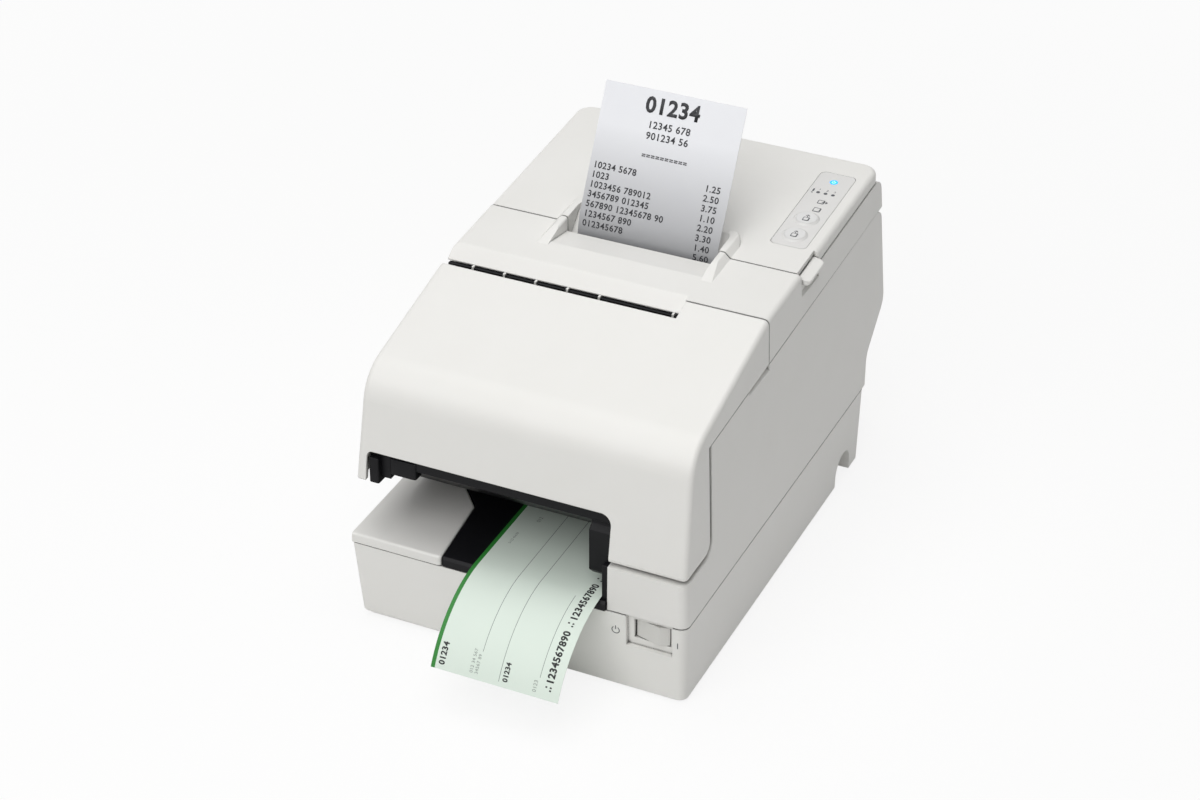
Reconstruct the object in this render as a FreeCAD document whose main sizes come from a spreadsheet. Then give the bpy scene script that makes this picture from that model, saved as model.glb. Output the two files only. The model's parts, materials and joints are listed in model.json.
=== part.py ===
import FreeCAD, Part
import Sketcher
import math
import os

# Receipt printer with a slip station in front. Lengths in mm, angles in degrees.
# X runs to the right, Y to the back and Z up; the feet stand on Z = 0.
# A depth is measured backwards from the front edge of the slip table.

SIZES = {
    # whole case
    "case_width": 186.0,  # across the seam of the lower case
    "body_depth": 280.5,  # slip table's front edge to the rear hip
    "slip_reach": 47.0,  # slip form hanging out in front of the table
    "wall": 2.5,  # case wall
    "seam": 0.5,  # gap between case pieces
    "cover_gap": 0.9,  # gap across the top between two covers
    "foot_height": 2.0,  # clearance under the lower case
    "base_seam": 47.0,  # height of the seam above the lower case
    "lean_over": 3.4,  # top of the full side lean above the rear of the top
    "side_lean": 4.4,  # inward lean of each side at that height
    "left_tuck": 3.5,  # left side drawn in at the foot
    "right_tuck": 0.8,  # right side drawn in at the foot
    "edge_round": 3.0,  # rounding of the covers' long edges
    # top line and side seam
    "bridge_front": 110.5,  # depth of the mid cover's front edge
    "top_front": 166.4,  # height of the top there
    "top_slope": 0.06,  # rise of the top towards the rear
    "side_seam": 140.5,  # height of the side seam there
    "side_slope": 0.056,  # rise of the side seam towards the rear
    "lid_depth": 6.4,  # height of the roll cover's side
    # rear outline of the body
    "crest_set": 10.2,  # how far the top of the rear stands in front of the hip
    "crest_height": 171.0,  # height of the top of the rear line
    "hip_height": 88.0,  # height of the rearmost edge
    "heel_set": 26.0,  # how far the heel stands in front of the hip
    "heel_height": 66.0,  # height of the heel
    "hip_round": 10.0,  # rounding of the hip
    "heel_round": 12.0,  # rounding of the heel
    "rear_round": 8.0,  # rounding of the rear upper corners
    # lower case
    "base_toe": 4.0,  # depth of the front wall at the foot
    "base_brow": 2.0,  # depth of the front wall at the seam
    "base_heel": 251.0,  # depth of the rear at the foot
    "base_back": 252.5,  # depth of the rear at the seam
    "base_corner": 5.0,  # rounding of the upright corners
    "bulkhead": 211.0,  # depth of the wall in front of the connector bay
    "bay_inset": 7.0,  # connector bay in from the side
    "arch_front": 213.8,  # front of the cable arch
    "arch_width": 21.4,  # width of the cable arch
    "arch_height": 18.5,  # top of the cable arch
    "ledge_width": 5.0,  # ledge that carries the frame
    "ledge_height": 3.5,  # height of that ledge
    "port_half": 64.0,  # half width of the window for the sockets
    "port_low": 10.0,  # lower edge of that window
    "port_high": 41.0,  # upper edge of that window
    "foot_radius": 7.0,  # rubber foot
    "foot_inset": 16.0,  # foot centre from the side
    "foot_sink": 1.0,  # depth of the foot's seat
    # power switch
    "switch_wide": 25.0,  # width of the switch recess
    "switch_inset": 7.5,  # switch recess in from the side
    "switch_low": 29.0,  # lower edge of the switch recess
    "rocker_margin": 4.3,  # rocker from the recess's left side
    "rocker_long": 18.4,  # length of the rocker
    "ridge_place": 13.4,  # ridge from the rocker's left end
    "rocker_low": 33.6,  # lower edge of the rocker
    "rocker_high": 44.4,  # upper edge of the rocker
    "rocker_rise": 3.4,  # ridge in front of the bezel
    "rocker_depth": 4.0,  # rocker behind the bezel's face
    "rocker_gap": 0.8,  # gap round the rocker
    "rocker_pin": 1.0,  # radius of the rocker's pivot
    "bezel_margin": 2.4,  # bezel beyond the recess
    "bezel_thick": 2.0,  # bezel plate
    "switch_body": 18.0,  # switch body behind the bezel
    # slip table and bed
    "table_top": 53.0,  # height of the slip table
    "table_right": -41.5,  # right edge of the table in front
    "table_taper": 5.0,  # the right edge runs in by this much
    "table_straight": 48.0,  # depth where the edge turns
    "table_depth": 80.0,  # depth of the table
    "table_back": -74.0,  # right edge at the rear
    "bed_drop": 0.4,  # bed below the table
    "bed_lip": 1.4,  # bevel of the bed's front lip
    "slot_wall": 104.0,  # depth of the slip path's rear wall
    "slip_bend": 22.0,  # bend of the slip path
    "guide_thick": 2.4,  # thickness of the slip guides
    "throat_right": 50.0,  # right side of the slip throat
    "throat_inset": 5.0,  # left end of the rear slip wall, in from the side
    # front cover
    "hood_foot": 3.2,  # depth of the front cover at its lower edge
    "sill": 73.2,  # height of the panel below the front cover
    "hood_gap": 1.3,  # gap above that panel
    "brow_depth": 14.6,  # depth of the corner between front and top
    "brow_height": 142.7,  # height of that corner
    "brow_round": 23.0,  # rounding of that corner
    "cheek_depth": 35.3,  # depth of the front cover's right side
    "cheek_round": 8.0,  # rounding at the foot of that side
    "hood_back": 97.0,  # rear edge of the front cover at the slip slot
    "slot_right": 46.5,  # right end of the slip slot on top
    "notch_top": 100.8,  # upper edge of the slip throat
    "notch_inset": 7.0,  # left leg of the front cover, in from the side
    "notch_round": 6.0,  # rounding of the throat's upper right corner
    "leg_foot": 84.5,  # lower end of the left leg
    "hood_toe_round": 3.0,  # rounding of the front cover's lower edge
    "hinge_depth": 8.4,  # depth of the front cover's hinge line
    "hinge_rise": 5.4,  # hinge line above the panel
    "hinge_pin": 1.0,  # radius of the front hinge pins
    "hinge_ear": 2.0,  # radius of the ears on the panel
    "hinge_swing": 5.8,  # room behind the hinge line for the front cover's foot
    "ear_wide": 3.0,  # width of an ear
    "knuckle_wide": 3.6,  # width of a knuckle on the front cover
    "knuckle_gap": 0.4,  # side gap between ear and knuckle
    "hinge_left": 53.4,  # left hinge ear
    "hinge_inset": 5.8,  # right end of the right hinge ear, in from the side
    "running": 0.08,  # running clearance of pins and rods
    "tab_front": 84.0,  # finger notch under the front cover
    "tab_drop": 5.0,  # depth of that notch
    # mid cover
    "facet_depth": 8.5,  # depth of the sloping front of the mid cover
    "facet_height": 6.0,  # height of that slope
    "nose_reach": 4.4,  # its lower edge in front of the cover
    "nose_lip": 0.6,  # height of its lower edge
    "facet_wall": 3.1,  # upright thickness of the slope
    "rib_pitch": 18.0,  # spacing of the ribs in the slip slot
    "rib_thick": 1.2,  # thickness of a rib
    "rib_tall": 10.0,  # height of a rib
    "rib_set": 0.3,  # ribs below the edge of the slope
    "rib_first": -74.4,  # first rib
    "rib_count": 5,  # number of evenly spaced ribs
    "rib_last": 38.6,  # the rib at the right end
    "bridge_depth": 43.5,  # seam before the roll cover, behind the mid cover's front edge
    "exit_half": 43.0,  # half width of the paper exit
    "rim_wide": 6.5,  # width of the rim beside the exit
    "rim_rise": 3.0,  # height of the rim
    "rim_crown": 3.4,  # width of the rim's top
    "rim_soft": 1.4,  # rounding of the rim
    "rim_taper": 15.0,  # length over which the rim rises
    "ramp_length": 21.0,  # front of the paper ramp, before the seam
    "lip_gap": 1.4,  # rear lip of the paper ramp, before the seam
    "ramp_drop": 4.6,  # lip of the ramp below the top
    "rim_length": 24.0,  # front end of the rim, before the seam
    # roll cover
    "exit_depth": 18.0,  # rear edge of the paper exit, behind the seam
    "exit_round": 8.0,  # corner of the paper exit
    "well_set": 2.8,  # lower front edge of the sloping well, behind the seam
    "well_over": 6.3,  # that edge above the platen
    "lid_inner_round": 2.4,  # inner rounding of the roll cover's rear edge
    "lid_corner": 9.0,  # rounding of the roll cover's rear corners
    "lid_heel": 1.4,  # rounding of the roll cover's lower rear edge
    "lid_hinge_set": 18.0,  # roll cover's hinge line in front of the hip
    "lid_hinge_height": 153.5,  # height of that line
    "lid_pin": 2.0,  # radius of the roll cover's hinge pins
    "lid_ear_inset": 19.5,  # inner face of the roll cover's ears, in from the side
    "lid_ear_thick": 4.5,  # thickness of the ears
    "lid_ear_half": 4.3,  # half length of the ears
    "boss_round": 4.0,  # radius of the hinge bosses
    # operation panel
    "panel_wide": 19.8,  # width of the operation panel
    "panel_inset": 11.4,  # right edge of the operation panel, in from the side
    "panel_set": 23.0,  # front of the operation panel, behind the seam
    "panel_back": 253.0,  # rear of the operation panel
    "panel_thick": 1.2,  # thickness of the panel
    "panel_round": 3.0,  # corner of the panel
    "button_inset": 10.0,  # line of the buttons, in from the panel's right edge
    "button_radius": 5.6,  # feed button
    "button_gap": 0.35,  # gap round a button
    "button_rise": 0.9,  # button above the panel
    "button_travel": 0.6,  # way of a button
    "button_set": 11.0,  # receipt feed button behind the panel's front
    "button_pitch": 16.8,  # slip feed button behind the receipt feed button
    "lamp_set": 8.6,  # power lamp before the panel's rear
    "lamp_radius": 2.2,  # power lamp
    "lamp_proud": 0.1,  # how far a lamp stands out
    "dot_set": 12.4,  # status lamps before the power lamp
    "dot_pitch": 4.2,  # spacing of the status lamps
    "dot_radius": 1.0,  # status lamp
    "board_thick": 1.6,  # circuit boards
    "board_drop": 4.2,  # panel board below the panel
    # cover lever
    "lever_reach": 23.5,  # rear end of the lever, behind the seam
    "lever_inset": 6.4,  # inner side of the lever, in from the case's widest line
    "lever_drop": 1.4,  # lever's outer edge below its inner edge
    "lever_sink": 3.0,  # lever below the top
    "lever_pivot": 2.0,  # pivot before the lever's rear end
    "lever_round": 3.0,  # corners of the lever
    "lever_lip": 0.8,  # rounding of the lever's outer edge
    "lever_pin": 1.2,  # radius of the lever's pivot
    "scoop_drop": 10.0,  # finger pocket below the lever
    "scoop_deep": 1.3,  # depth of that pocket
    "lever_boss": 4.0,  # width of the lever's bearing
    "arm_head": 5.6,  # top of the hook's arm below the roll cover's top
    "hook_thick": 2.6,  # thickness of the latch hook
    "hook_drop": 17.0,  # latch hook below the top
    "hook_nose": 2.4,  # height of the hook's nose
    "hook_set": 2.0,  # latch hook behind the lever's front end
    "hook_reach": 1.2,  # nose of the latch hook
    "catch_set": 7.2,  # front of the catch, behind the seam
    "catch_long": 3.0,  # length of the catch
    "catch_high": 3.0,  # height of the catch
    "catch_gap": 0.4,  # released hook in front of the catch
    # frame, roll and holder
    "frame_half": 53.0,  # inner face of the frame's side plates
    "sheet": 1.5,  # sheet metal
    "frame_front": 112.5,  # front edge of the frame
    "frame_back": 246.0,  # rear edge of the frame
    "frame_inset": 5.0,  # edge of the frame's floor, in from the side
    "cross_set": 32.8,  # frame's cross wall before the platen
    "roll_set": 56.0,  # roll holder's centre behind the seam
    "roll_height": 108.0,  # height of the roll holder's centre
    "trough": 41.5,  # inner radius of the roll holder
    "holder_wall": 2.0,  # wall of the roll holder
    "holder_half": 42.0,  # half width inside the roll holder
    "holder_top": 130.0,  # rim of the roll holder
    "roll_radius": 40.0,  # full paper roll
    "roll_gap": 0.3,  # paper roll above the holder
    "paper_width": 79.5,  # width of the receipt paper
    "core_radius": 9.0,  # outside of the paper core
    "core_hole": 6.5,  # hole of the paper core
    # print head and platen
    "platen_set": 6.8,  # platen's axis behind the seam
    "platen_height": 147.0,  # height of the platen's axis
    "platen_radius": 5.5,  # platen rubber
    "platen_half": 41.0,  # half length of the rubber
    "shaft_radius": 3.0,  # platen shaft
    "nip_gap": 0.35,  # print head in front of the platen
    "head_plate": 1.2,  # ceramic plate of the print head
    "head_half": 40.5,  # half length of the print head
    "head_low": 139.0,  # lower edge of the head plate
    "head_high": 151.0,  # upper edge of the head plate
    "sink_depth": 11.0,  # depth of the heat sink
    "sink_margin": 1.0,  # heat sink beyond the head plate
    "fin_depth": 6.0,  # depth of the cooling grooves
    "fin_pitch": 5.4,  # spacing of the cooling grooves
    "fin_gap": 2.6,  # width of a cooling groove
    "fin_count": 15,  # number of cooling grooves
    "spring_place": 25.0,  # head springs from the middle
    "spring_radius": 2.6,  # mean radius of a head spring
    "spring_wire": 0.35,  # radius of the spring wire
    "spring_turns": 4.0,  # turns of a head spring
    "cheek_in": 45.9,  # inner face of the platen bracket
    "bush_radius": 4.6,  # platen bush
    "bush_length": 2.4,  # length of a bush
    "gear_left": 48.8,  # left face of the feed gears
    "gear_wide": 3.2,  # width of the feed gears
    "slip_gear_wide": 2.8,  # width of the slip gears
    "backlash": 0.16,  # play between gear teeth
    "addendum": 0.94,  # tooth tip above the pitch circle, in modules
    "dedendum": 1.25,  # tooth root below the pitch circle, in modules
    "tooth_module": 0.8,  # module of all gears
    "platen_teeth": 14,  # teeth of the platen gear
    "idler_teeth": 28,  # teeth of the idler
    "pinion_teeth": 14,  # teeth of the motor pinions
    "idler_lag": 13.5,  # motor pinion in front of the idler
    "stud_radius": 2.0,  # idler's stud
    "motor_radius": 17.0,  # feed motor
    "motor_length": 21.0,  # length of the feed motor
    "motor_shaft": 1.5,  # radius of the motor shafts
    "motor_boss": 5.0,  # radius of the motor's centring boss
    # cutter
    "cutter_height": 153.2,  # underside of the cutter frame
    "cutter_bed": 2.2,  # thickness of the cutter frame
    "cutter_long": 30.0,  # length of the cutter frame
    "cutter_set": 10.8,  # rear of the cutter frame before the platen
    "blade_gap": 0.2,  # gap under and over the moving blade
    "blade_thick": 0.8,  # thickness of the blades
    "blade_half": 43.5,  # half width of the moving blade
    "blade_long": 24.2,  # length of the moving blade
    "blade_set": 7.6,  # cutting edge at the sides, before the platen
    "blade_vee": 3.0,  # edge set back in the middle
    "fixed_set": 3.4,  # edge of the fixed blade before the platen
    "fixed_depth": 10.0,  # width of the fixed blade
    # papers
    "paper_thick": 0.3,  # receipt strip
    "strip_start": 158.4,  # lower end of the receipt strip
    "strip_gap": 0.3,  # receipt strip in front of the well
    "strip_bend": 163.0,  # height where the strip leans back
    "strip_top": 236.0,  # upper end of the receipt strip
    "strip_lean": 36.0,  # upper end behind the lower end
    "strip_shift": 1.4,  # receipt strip to the right of the middle
    "form_thick": 0.3,  # slip form
    "form_lift": 0.25,  # slip form above the table
    "form_width": 70.0,  # width of the slip form
    "form_right": 46.4,  # right edge of the slip form
    "form_end": 85.0,  # inner end of the slip form
    "form_edge": 4.0,  # depth where the form starts to hang
    "form_drop": 31.0,  # how far the outer end hangs down
    "hang_share": 0.96,  # the hang's bend as a share of a full arc
    # slip feed
    "feed_depth": 72.0,  # depth of the slip feed rollers
    "feed_radius": 7.0,  # slip drive roller
    "feed_gap": 0.3,  # rollers from the slip form
    "feed_shaft": 2.5,  # slip drive shaft
    "feed_first": 0.0,  # left drive roller
    "feed_pitch": 28.0,  # spacing of the drive rollers
    "feed_wide": 10.0,  # width of a roller
    "feed_window": 0.9,  # gap round the rollers in the guides
    "feed_left": -16.0,  # left bearing of the drive shaft
    "feed_right": 42.0,  # right bearing of the drive shaft
    "bearing_wide": 3.0,  # width of a bearing post
    "bearing_half": 6.0,  # half depth of a bearing post
    "feed_bush": 4.2,  # bush of the drive shaft
    "slip_gear_left": 46.7,  # left face of the slip gears
    "slip_teeth": 18,  # teeth of the slip drive gear
    "slip_motor_wall": 51.6,  # plate that carries the slip motor
    "slip_motor_radius": 12.0,  # slip motor
    "slip_motor_length": 18.0,  # length of the slip motor
    "pinch_radius": 4.6,  # pinch roller
    "pinch_shaft": 1.5,  # shaft of the pinch rollers
    # upper slip guide
    "guide_front": 10.6,  # front face of the upper slip guide
    "guide_inset": 7.6,  # left end of the upper slip guide, in from the side
    "guide_face": 7.0,  # height of its front face
    "guide_knee": 48.0,  # depth where the guide turns level
    "guide_low": 62.2,  # underside where the guide turns level
    "guide_level": 60.5,  # underside at the rollers
    "path_gap": 8.5,  # width of the slip path behind the head
    "guide_bend": 12.0,  # bend of the upper guide
    "guide_top": 148.0,  # top of the upper guide
    "window_inset": 19.4,  # print window from the guide's left end
    "window_right": 46.0,  # right side of the print window
    "window_low": 109.0,  # lower edge of the print window
    "window_high": 127.0,  # upper edge of the print window
    "block_left": 37.5,  # left face of the right guide block
    "block_back": 42.0,  # rear of the right guide block
    "block_low": 60.0,  # underside of the right guide block
    "claw_wide": 11.0,  # left claw of the guide
    "claw_deep": 9.0,  # depth of the left claw
    "claw_low": 85.0,  # lower end of the left claw
    "arm_wide": 23.0,  # bar beside the left claw
    "arm_low": 90.5,  # lower side of that bar
    # carriage
    "tray_low": 104.0,  # underside of the carriage frame
    "tray_front": 14.0,  # front of the carriage frame
    "tray_back": 90.0,  # rear of the carriage frame
    "tray_inset": 8.0,  # left side of the carriage frame, in from the side
    "tray_wall": 128.0,  # top of the carriage frame's sides
    "rod_depth": 60.0,  # depth of the carriage rod
    "rod_height": 118.0,  # height of the carriage rod
    "rod_radius": 3.0,  # carriage rod
    "carriage_left": -22.0,  # left side of the carriage
    "carriage_wide": 30.0,  # width of the carriage
    "carriage_front": 52.0,  # front of the carriage
    "carriage_back": 68.0,  # rear of the carriage
    "carriage_low": 110.0,  # underside of the carriage
    "carriage_high": 126.0,  # top of the carriage
    "head_inset": 5.0,  # print head narrower than the carriage
    "dot_head_back": 86.0,  # rear of the print head's body
    "nose_back": 91.0,  # tip of the print head
    "nose_inset": 5.0,  # nose narrower than the print head
    "belt_depth": 38.0,  # depth of the belt's middle
    "belt_low": 111.0,  # lower edge of the belt
    "belt_wide": 5.0,  # width of the belt
    "belt_thick": 1.2,  # thickness of the belt
    "pulley_radius": 5.5,  # belt pulleys
    "pulley_flange": 1.0,  # flanges of the pulleys
    "belt_gap": 0.15,  # belt from the pulley
    "drive_place": 36.0,  # drive pulley
    "idle_inset": 11.0,  # idle pulley from the carriage frame's left side
    "carriage_motor_radius": 11.0,  # carriage motor
    "carriage_motor_low": 119.6,  # underside of the carriage motor
    "carriage_motor_high": 135.0,  # top of the carriage motor
    # ribbon
    "cassette_right": 22.0,  # right side of the ribbon cassette
    "cassette_front": 20.0,  # front of the ribbon cassette
    "cassette_back": 79.0,  # rear of the ribbon cassette
    "cassette_high": 8.0,  # height of the ribbon cassette
    "cassette_round": 5.0,  # corners of the ribbon cassette
    "ribbon_right": 46.0,  # right end of the ribbon
    "ribbon_arm": 8.0,  # width of a ribbon arm
    "ribbon_low": 112.0,  # lower end of the ribbon arms
    "ribbon_depth": 91.4,  # depth of the ribbon
    "ribbon_thick": 0.3,  # ribbon
    "ribbon_band": 8.0,  # width of the ribbon
    "ribbon_foot": 114.0,  # lower edge of the ribbon
    "knob_radius": 7.0,  # ribbon knob
    "knob_high": 4.0,  # height of the ribbon knob
    "knob_place": 8.0,  # ribbon knob from the middle
    "knob_depth": 48.0,  # depth of the ribbon knob
    "knob_stem": 2.5,  # stem of the ribbon knob
    # boards and sockets
    "board_height": 12.0,  # underside of the main board
    "board_half": 66.0,  # half width of the main board
    "board_front": 96.0,  # front of the main board
    "board_post": 3.0,  # radius of the board's posts
    "plate_thick": 1.2,  # connector panel
    "plate_margin": 2.0,  # connector panel beyond its window
    "socket_gap": 0.3,  # gap round a socket
    "socket_wall": 1.2,  # wall of a socket
    "socket_depth": 15.0,  # depth of a socket
    "socket_step": 1.0,  # socket standing out of its panel
}

doc = FreeCAD.newDocument("receipt_printer")
sheet = doc.addObject("Spreadsheet::Sheet", "Sizes")


class Size:
    """A length held both as a number and as the sheet expression that gives it."""

    def __init__(self, value, text):
        self.value = value
        self.text = text

    def __add__(self, other):
        other = as_size(other)
        return Size(self.value + other.value, "(%s + %s)" % (self.text, other.text))

    def __sub__(self, other):
        other = as_size(other)
        return Size(self.value - other.value, "(%s - %s)" % (self.text, other.text))

    def __mul__(self, other):
        other = as_size(other)
        return Size(self.value * other.value, "(%s * %s)" % (self.text, other.text))

    def __truediv__(self, other):
        other = as_size(other)
        return Size(self.value / other.value, "(%s / %s)" % (self.text, other.text))

    def __neg__(self):
        return Size(-self.value, "(0 - %s)" % self.text)

    def __radd__(self, other):
        return as_size(other) + self

    def __rsub__(self, other):
        return as_size(other) - self

    def __rmul__(self, other):
        return as_size(other) * self


def as_size(item):
    """Give a plain number the form of a size."""
    if isinstance(item, Size):
        return item
    return Size(float(item), "(%r)" % float(item))


class Dimensions:
    """The driving sizes by name, each written to its own row of the sheet."""

    def __init__(self, table):
        for row, (name, value) in enumerate(table.items(), 1):
            sheet.set("A%d" % row, name)
            sheet.set("B%d" % row, str(value))
            sheet.setAlias("B%d" % row, name)
            setattr(self, name, Size(float(value), "Sizes." + name))


dim = Dimensions(SIZES)
doc.recompute()
pieces = []


def bind(item, path, value):
    """Tie a property of an object to a size."""
    item.setExpression(path, as_size(value).text)


def box(name, x, y, z):
    """A block between the low and high bound of each axis."""
    item = doc.addObject("Part::Box", name)
    for side, (low, high) in zip(("Length", "Width", "Height"), (x, y, z)):
        bind(item, side, as_size(high) - low)
    for axis, (low, high) in zip("xyz", (x, y, z)):
        bind(item, "Placement.Base." + axis, low)
    return item


TURNS = {
    "x": FreeCAD.Rotation(FreeCAD.Vector(0, 1, 0), 90),
    "y": FreeCAD.Rotation(FreeCAD.Vector(1, 0, 0), -90),
    "z": FreeCAD.Rotation(),
}


def rod(name, axis, low, high, centre, radius):
    """A round bar along an axis; centre holds the two other coordinates in order."""
    item = doc.addObject("Part::Cylinder", name)
    item.Placement = FreeCAD.Placement(FreeCAD.Vector(), TURNS[axis])
    bind(item, "Radius", radius)
    bind(item, "Height", as_size(high) - low)
    others = [other for other in "xyz" if other != axis]
    bind(item, "Placement.Base." + axis, low)
    bind(item, "Placement.Base." + others[0], centre[0])
    bind(item, "Placement.Base." + others[1], centre[1])
    return item


def corner_arc(before, corner, after, radius):
    """The tangent points, centre and turn of a rounded corner."""
    inward = (before - corner).normalize()
    outward = (after - corner).normalize()
    half = math.acos(max(-1.0, min(1.0, inward.dot(outward)))) / 2
    reach = radius / math.tan(half)
    start = corner + inward * reach
    end = corner + outward * reach
    middle = (inward + outward).normalize()
    centre = corner + middle * (radius / math.sin(half))
    left_turn = inward.cross(outward).z < 0
    return start, end, centre, left_turn


def draw(sketch, points):
    """Draw a closed outline of (u, v) or (u, v, radius) corners, each tied to its sizes."""
    count = len(points)
    places = [FreeCAD.Vector(as_size(p[0]).value, as_size(p[1]).value, 0) for p in points]
    starts = list(places)
    ends = list(places)
    arcs = {}
    for i, point in enumerate(points):
        if len(point) == 3:
            radius = as_size(point[2])
            arc = corner_arc(places[i - 1], places[i], places[(i + 1) % count], radius.value)
            ends[i] = arc[0]
            starts[i] = arc[1]
            arcs[i] = (arc, radius)
    lines = []
    for i in range(count):
        lines.append(Part.LineSegment(starts[i], ends[(i + 1) % count]))
    sketch.addGeometry(lines, False)
    rules = []
    ties = []
    for i, point in enumerate(points):
        line_in = (i - 1) % count
        if i in arcs:
            (start, end, centre, left_turn), radius = arcs[i]
            first = start if left_turn else end
            last = end if left_turn else start
            angle = math.atan2(first.y - centre.y, first.x - centre.x)
            stop = math.atan2(last.y - centre.y, last.x - centre.x)
            circle = Part.Circle(centre, FreeCAD.Vector(0, 0, 1), radius.value)
            bow = sketch.addGeometry(Part.ArcOfCircle(circle, angle, stop), False)
            mark = sketch.addGeometry(Part.Point(places[i]), True)
            near = 1 if left_turn else 2
            rules.append(Sketcher.Constraint("Tangent", line_in, 2, bow, near))
            rules.append(Sketcher.Constraint("Tangent", bow, 3 - near, i, 1))
            rules.append(Sketcher.Constraint("PointOnObject", mark, 1, line_in))
            rules.append(Sketcher.Constraint("PointOnObject", mark, 1, i))
            ties.append((len(rules), radius))
            rules.append(Sketcher.Constraint("Radius", bow, radius.value))
            holder = mark
        else:
            rules.append(Sketcher.Constraint("Coincident", line_in, 2, i, 1))
            holder = i
        ties.append((len(rules), as_size(point[0])))
        rules.append(Sketcher.Constraint("DistanceX", -1, 1, holder, 1, places[i].x))
        ties.append((len(rules), as_size(point[1])))
        rules.append(Sketcher.Constraint("DistanceY", -1, 1, holder, 1, places[i].y))
    sketch.addConstraint(rules)
    for number, tie in ties:
        sketch.setExpression("Constraints[%d]" % number, tie.text)


def new_sketch(body, plane, offset):
    """A sketch on one of the body's own planes, moved along the plane's normal."""
    sketch = body.newObject("Sketcher::SketchObject", body.Name + "_sketch")
    found = [item for item in body.Origin.OriginFeatures if item.Role == plane]
    sketch.AttachmentSupport = [(found[0], "")]
    sketch.MapMode = "FlatFace"
    bind(sketch, "AttachmentOffset.Base.z", offset)
    return sketch


def prism(name, plane, points, low, high):
    """An outline padded between two bounds along the normal of its plane."""
    body = doc.addObject("PartDesign::Body", name)
    offset = -as_size(high) if plane == "XZ_Plane" else as_size(low)
    sketch = new_sketch(body, plane, offset)
    draw(sketch, points)
    pad = body.newObject("PartDesign::Pad", name + "_pad")
    pad.Profile = sketch
    bind(pad, "Length", as_size(high) - low)
    return body


def side(name, points, low, high):
    """A prism across the case whose corners are (depth, height[, radius])."""
    placed = [(deep(point[0]),) + tuple(point[1:]) for point in points]
    return prism(name, "YZ_Plane", placed, low, high)


def plan(name, points, low, high):
    """An upright prism whose corners are (x, depth[, radius])."""
    placed = [(point[0], deep(point[1])) + tuple(point[2:]) for point in points]
    return prism(name, "XY_Plane", placed, low, high)


def fuse(name, base, *others):
    """One solid grown from a base, piece by piece."""
    for other in others:
        item = doc.addObject("Part::Fuse", name + "_sum")
        item.Base = base
        item.Tool = other
        item.Refine = other is others[-1]
        base = item
    return base


def together(name, *parts):
    """Separate solids kept as one node."""
    item = doc.addObject("Part::Compound", name)
    item.Links = list(parts)
    return item


def cut(name, base, *tools):
    """A solid less the tools, taken away one by one."""
    for tool in tools:
        item = doc.addObject("Part::Cut", name + "_less")
        item.Base = base
        item.Tool = tool
        item.Refine = tool is tools[-1]
        base = item
    return base


def common(name, base, tool):
    """What two solids share."""
    item = doc.addObject("Part::Common", name)
    item.Base = base
    item.Tool = tool
    return item


def rounded(name, base, radius, chosen):
    """A solid with the chosen edges rounded."""
    doc.recompute()
    item = doc.addObject("Part::Fillet", name)
    item.Base = base
    reach = radius.value
    edges = enumerate(base.Shape.Edges, 1)
    item.Edges = [(number, reach, reach) for number, edge in edges if chosen(edge)]
    return item


def piece(label, item):
    """Name a finished sub-part."""
    item.Label = label
    pieces.append(item)
    return item


def direction(edge):
    """The unit direction from one end of an edge to the other."""
    ends = edge.Vertexes
    span = ends[-1].Point - ends[0].Point
    return span.normalize() if span.Length > 0 else span


front = (dim.slip_reach - dim.body_depth) / 2
half_width = dim.case_width / 2
lean_height = dim.top_front + (dim.body_depth - dim.bridge_front) * dim.top_slope + dim.lean_over

# Depths that follow the seam in front of the roll cover.
nose_front = dim.bridge_front - dim.nose_reach
cover_seam = dim.bridge_front + dim.bridge_depth
ramp_front = cover_seam - dim.ramp_length
ramp_lip = cover_seam - dim.lip_gap
rim_front = cover_seam - dim.rim_length
exit_back = cover_seam + dim.exit_depth
well_front = cover_seam + dim.well_set
lever_back = cover_seam + dim.lever_reach
catch_depth = cover_seam + dim.catch_set
panel_front = cover_seam + dim.panel_set
receipt_button = panel_front + dim.button_set
slip_button = receipt_button + dim.button_pitch
lamp_depth = dim.panel_back - dim.lamp_set
dot_depth = lamp_depth - dim.dot_set
roll_depth = cover_seam + dim.roll_set
platen_depth = cover_seam + dim.platen_set
cross_wall = platen_depth - dim.cross_set
cutter_back = platen_depth - dim.cutter_set
cutter_front = cutter_back - dim.cutter_long
blade_edge = platen_depth - dim.blade_set
blade_front = blade_edge - dim.blade_long
fixed_front = platen_depth - dim.fixed_set

# Places that follow the width of the case.
lever_in = half_width - dim.lever_inset
lever_out = half_width
panel_right = half_width - dim.panel_inset
panel_left = panel_right - dim.panel_wide
button_line = panel_right - dim.button_inset
lid_ear_in = half_width - dim.lid_ear_inset
switch_right = half_width - dim.switch_inset
switch_left = switch_right - dim.switch_wide
rocker_left = switch_left + dim.rocker_margin
rocker_right = rocker_left + dim.rocker_long
rocker_ridge = rocker_left + dim.ridge_place
hinge_right = half_width - dim.hinge_inset
bay_half = half_width - dim.bay_inset
frame_reach = half_width - dim.frame_inset
throat_left = dim.throat_inset - half_width
notch_left = dim.notch_inset - half_width
guide_left = dim.guide_inset - half_width
tray_left = dim.tray_inset - half_width
window_left = guide_left + dim.window_inset
idle_place = tray_left + dim.idle_inset


def deep(depth):
    """The Y of a depth behind the slip table's front edge."""
    return front + depth


def top_at(depth):
    """Height of the top surface at a depth."""
    return dim.top_front + (as_size(depth) - dim.bridge_front) * dim.top_slope


def seam_at(depth):
    """Height of the side seam at a depth."""
    return dim.side_seam + (as_size(depth) - dim.bridge_front) * dim.side_slope


def rear_at(height):
    """Depth of the rear face at a height above the hip."""
    lean = dim.crest_set / (dim.crest_height - dim.hip_height)
    return dim.body_depth - (as_size(height) - dim.hip_height) * lean


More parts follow.
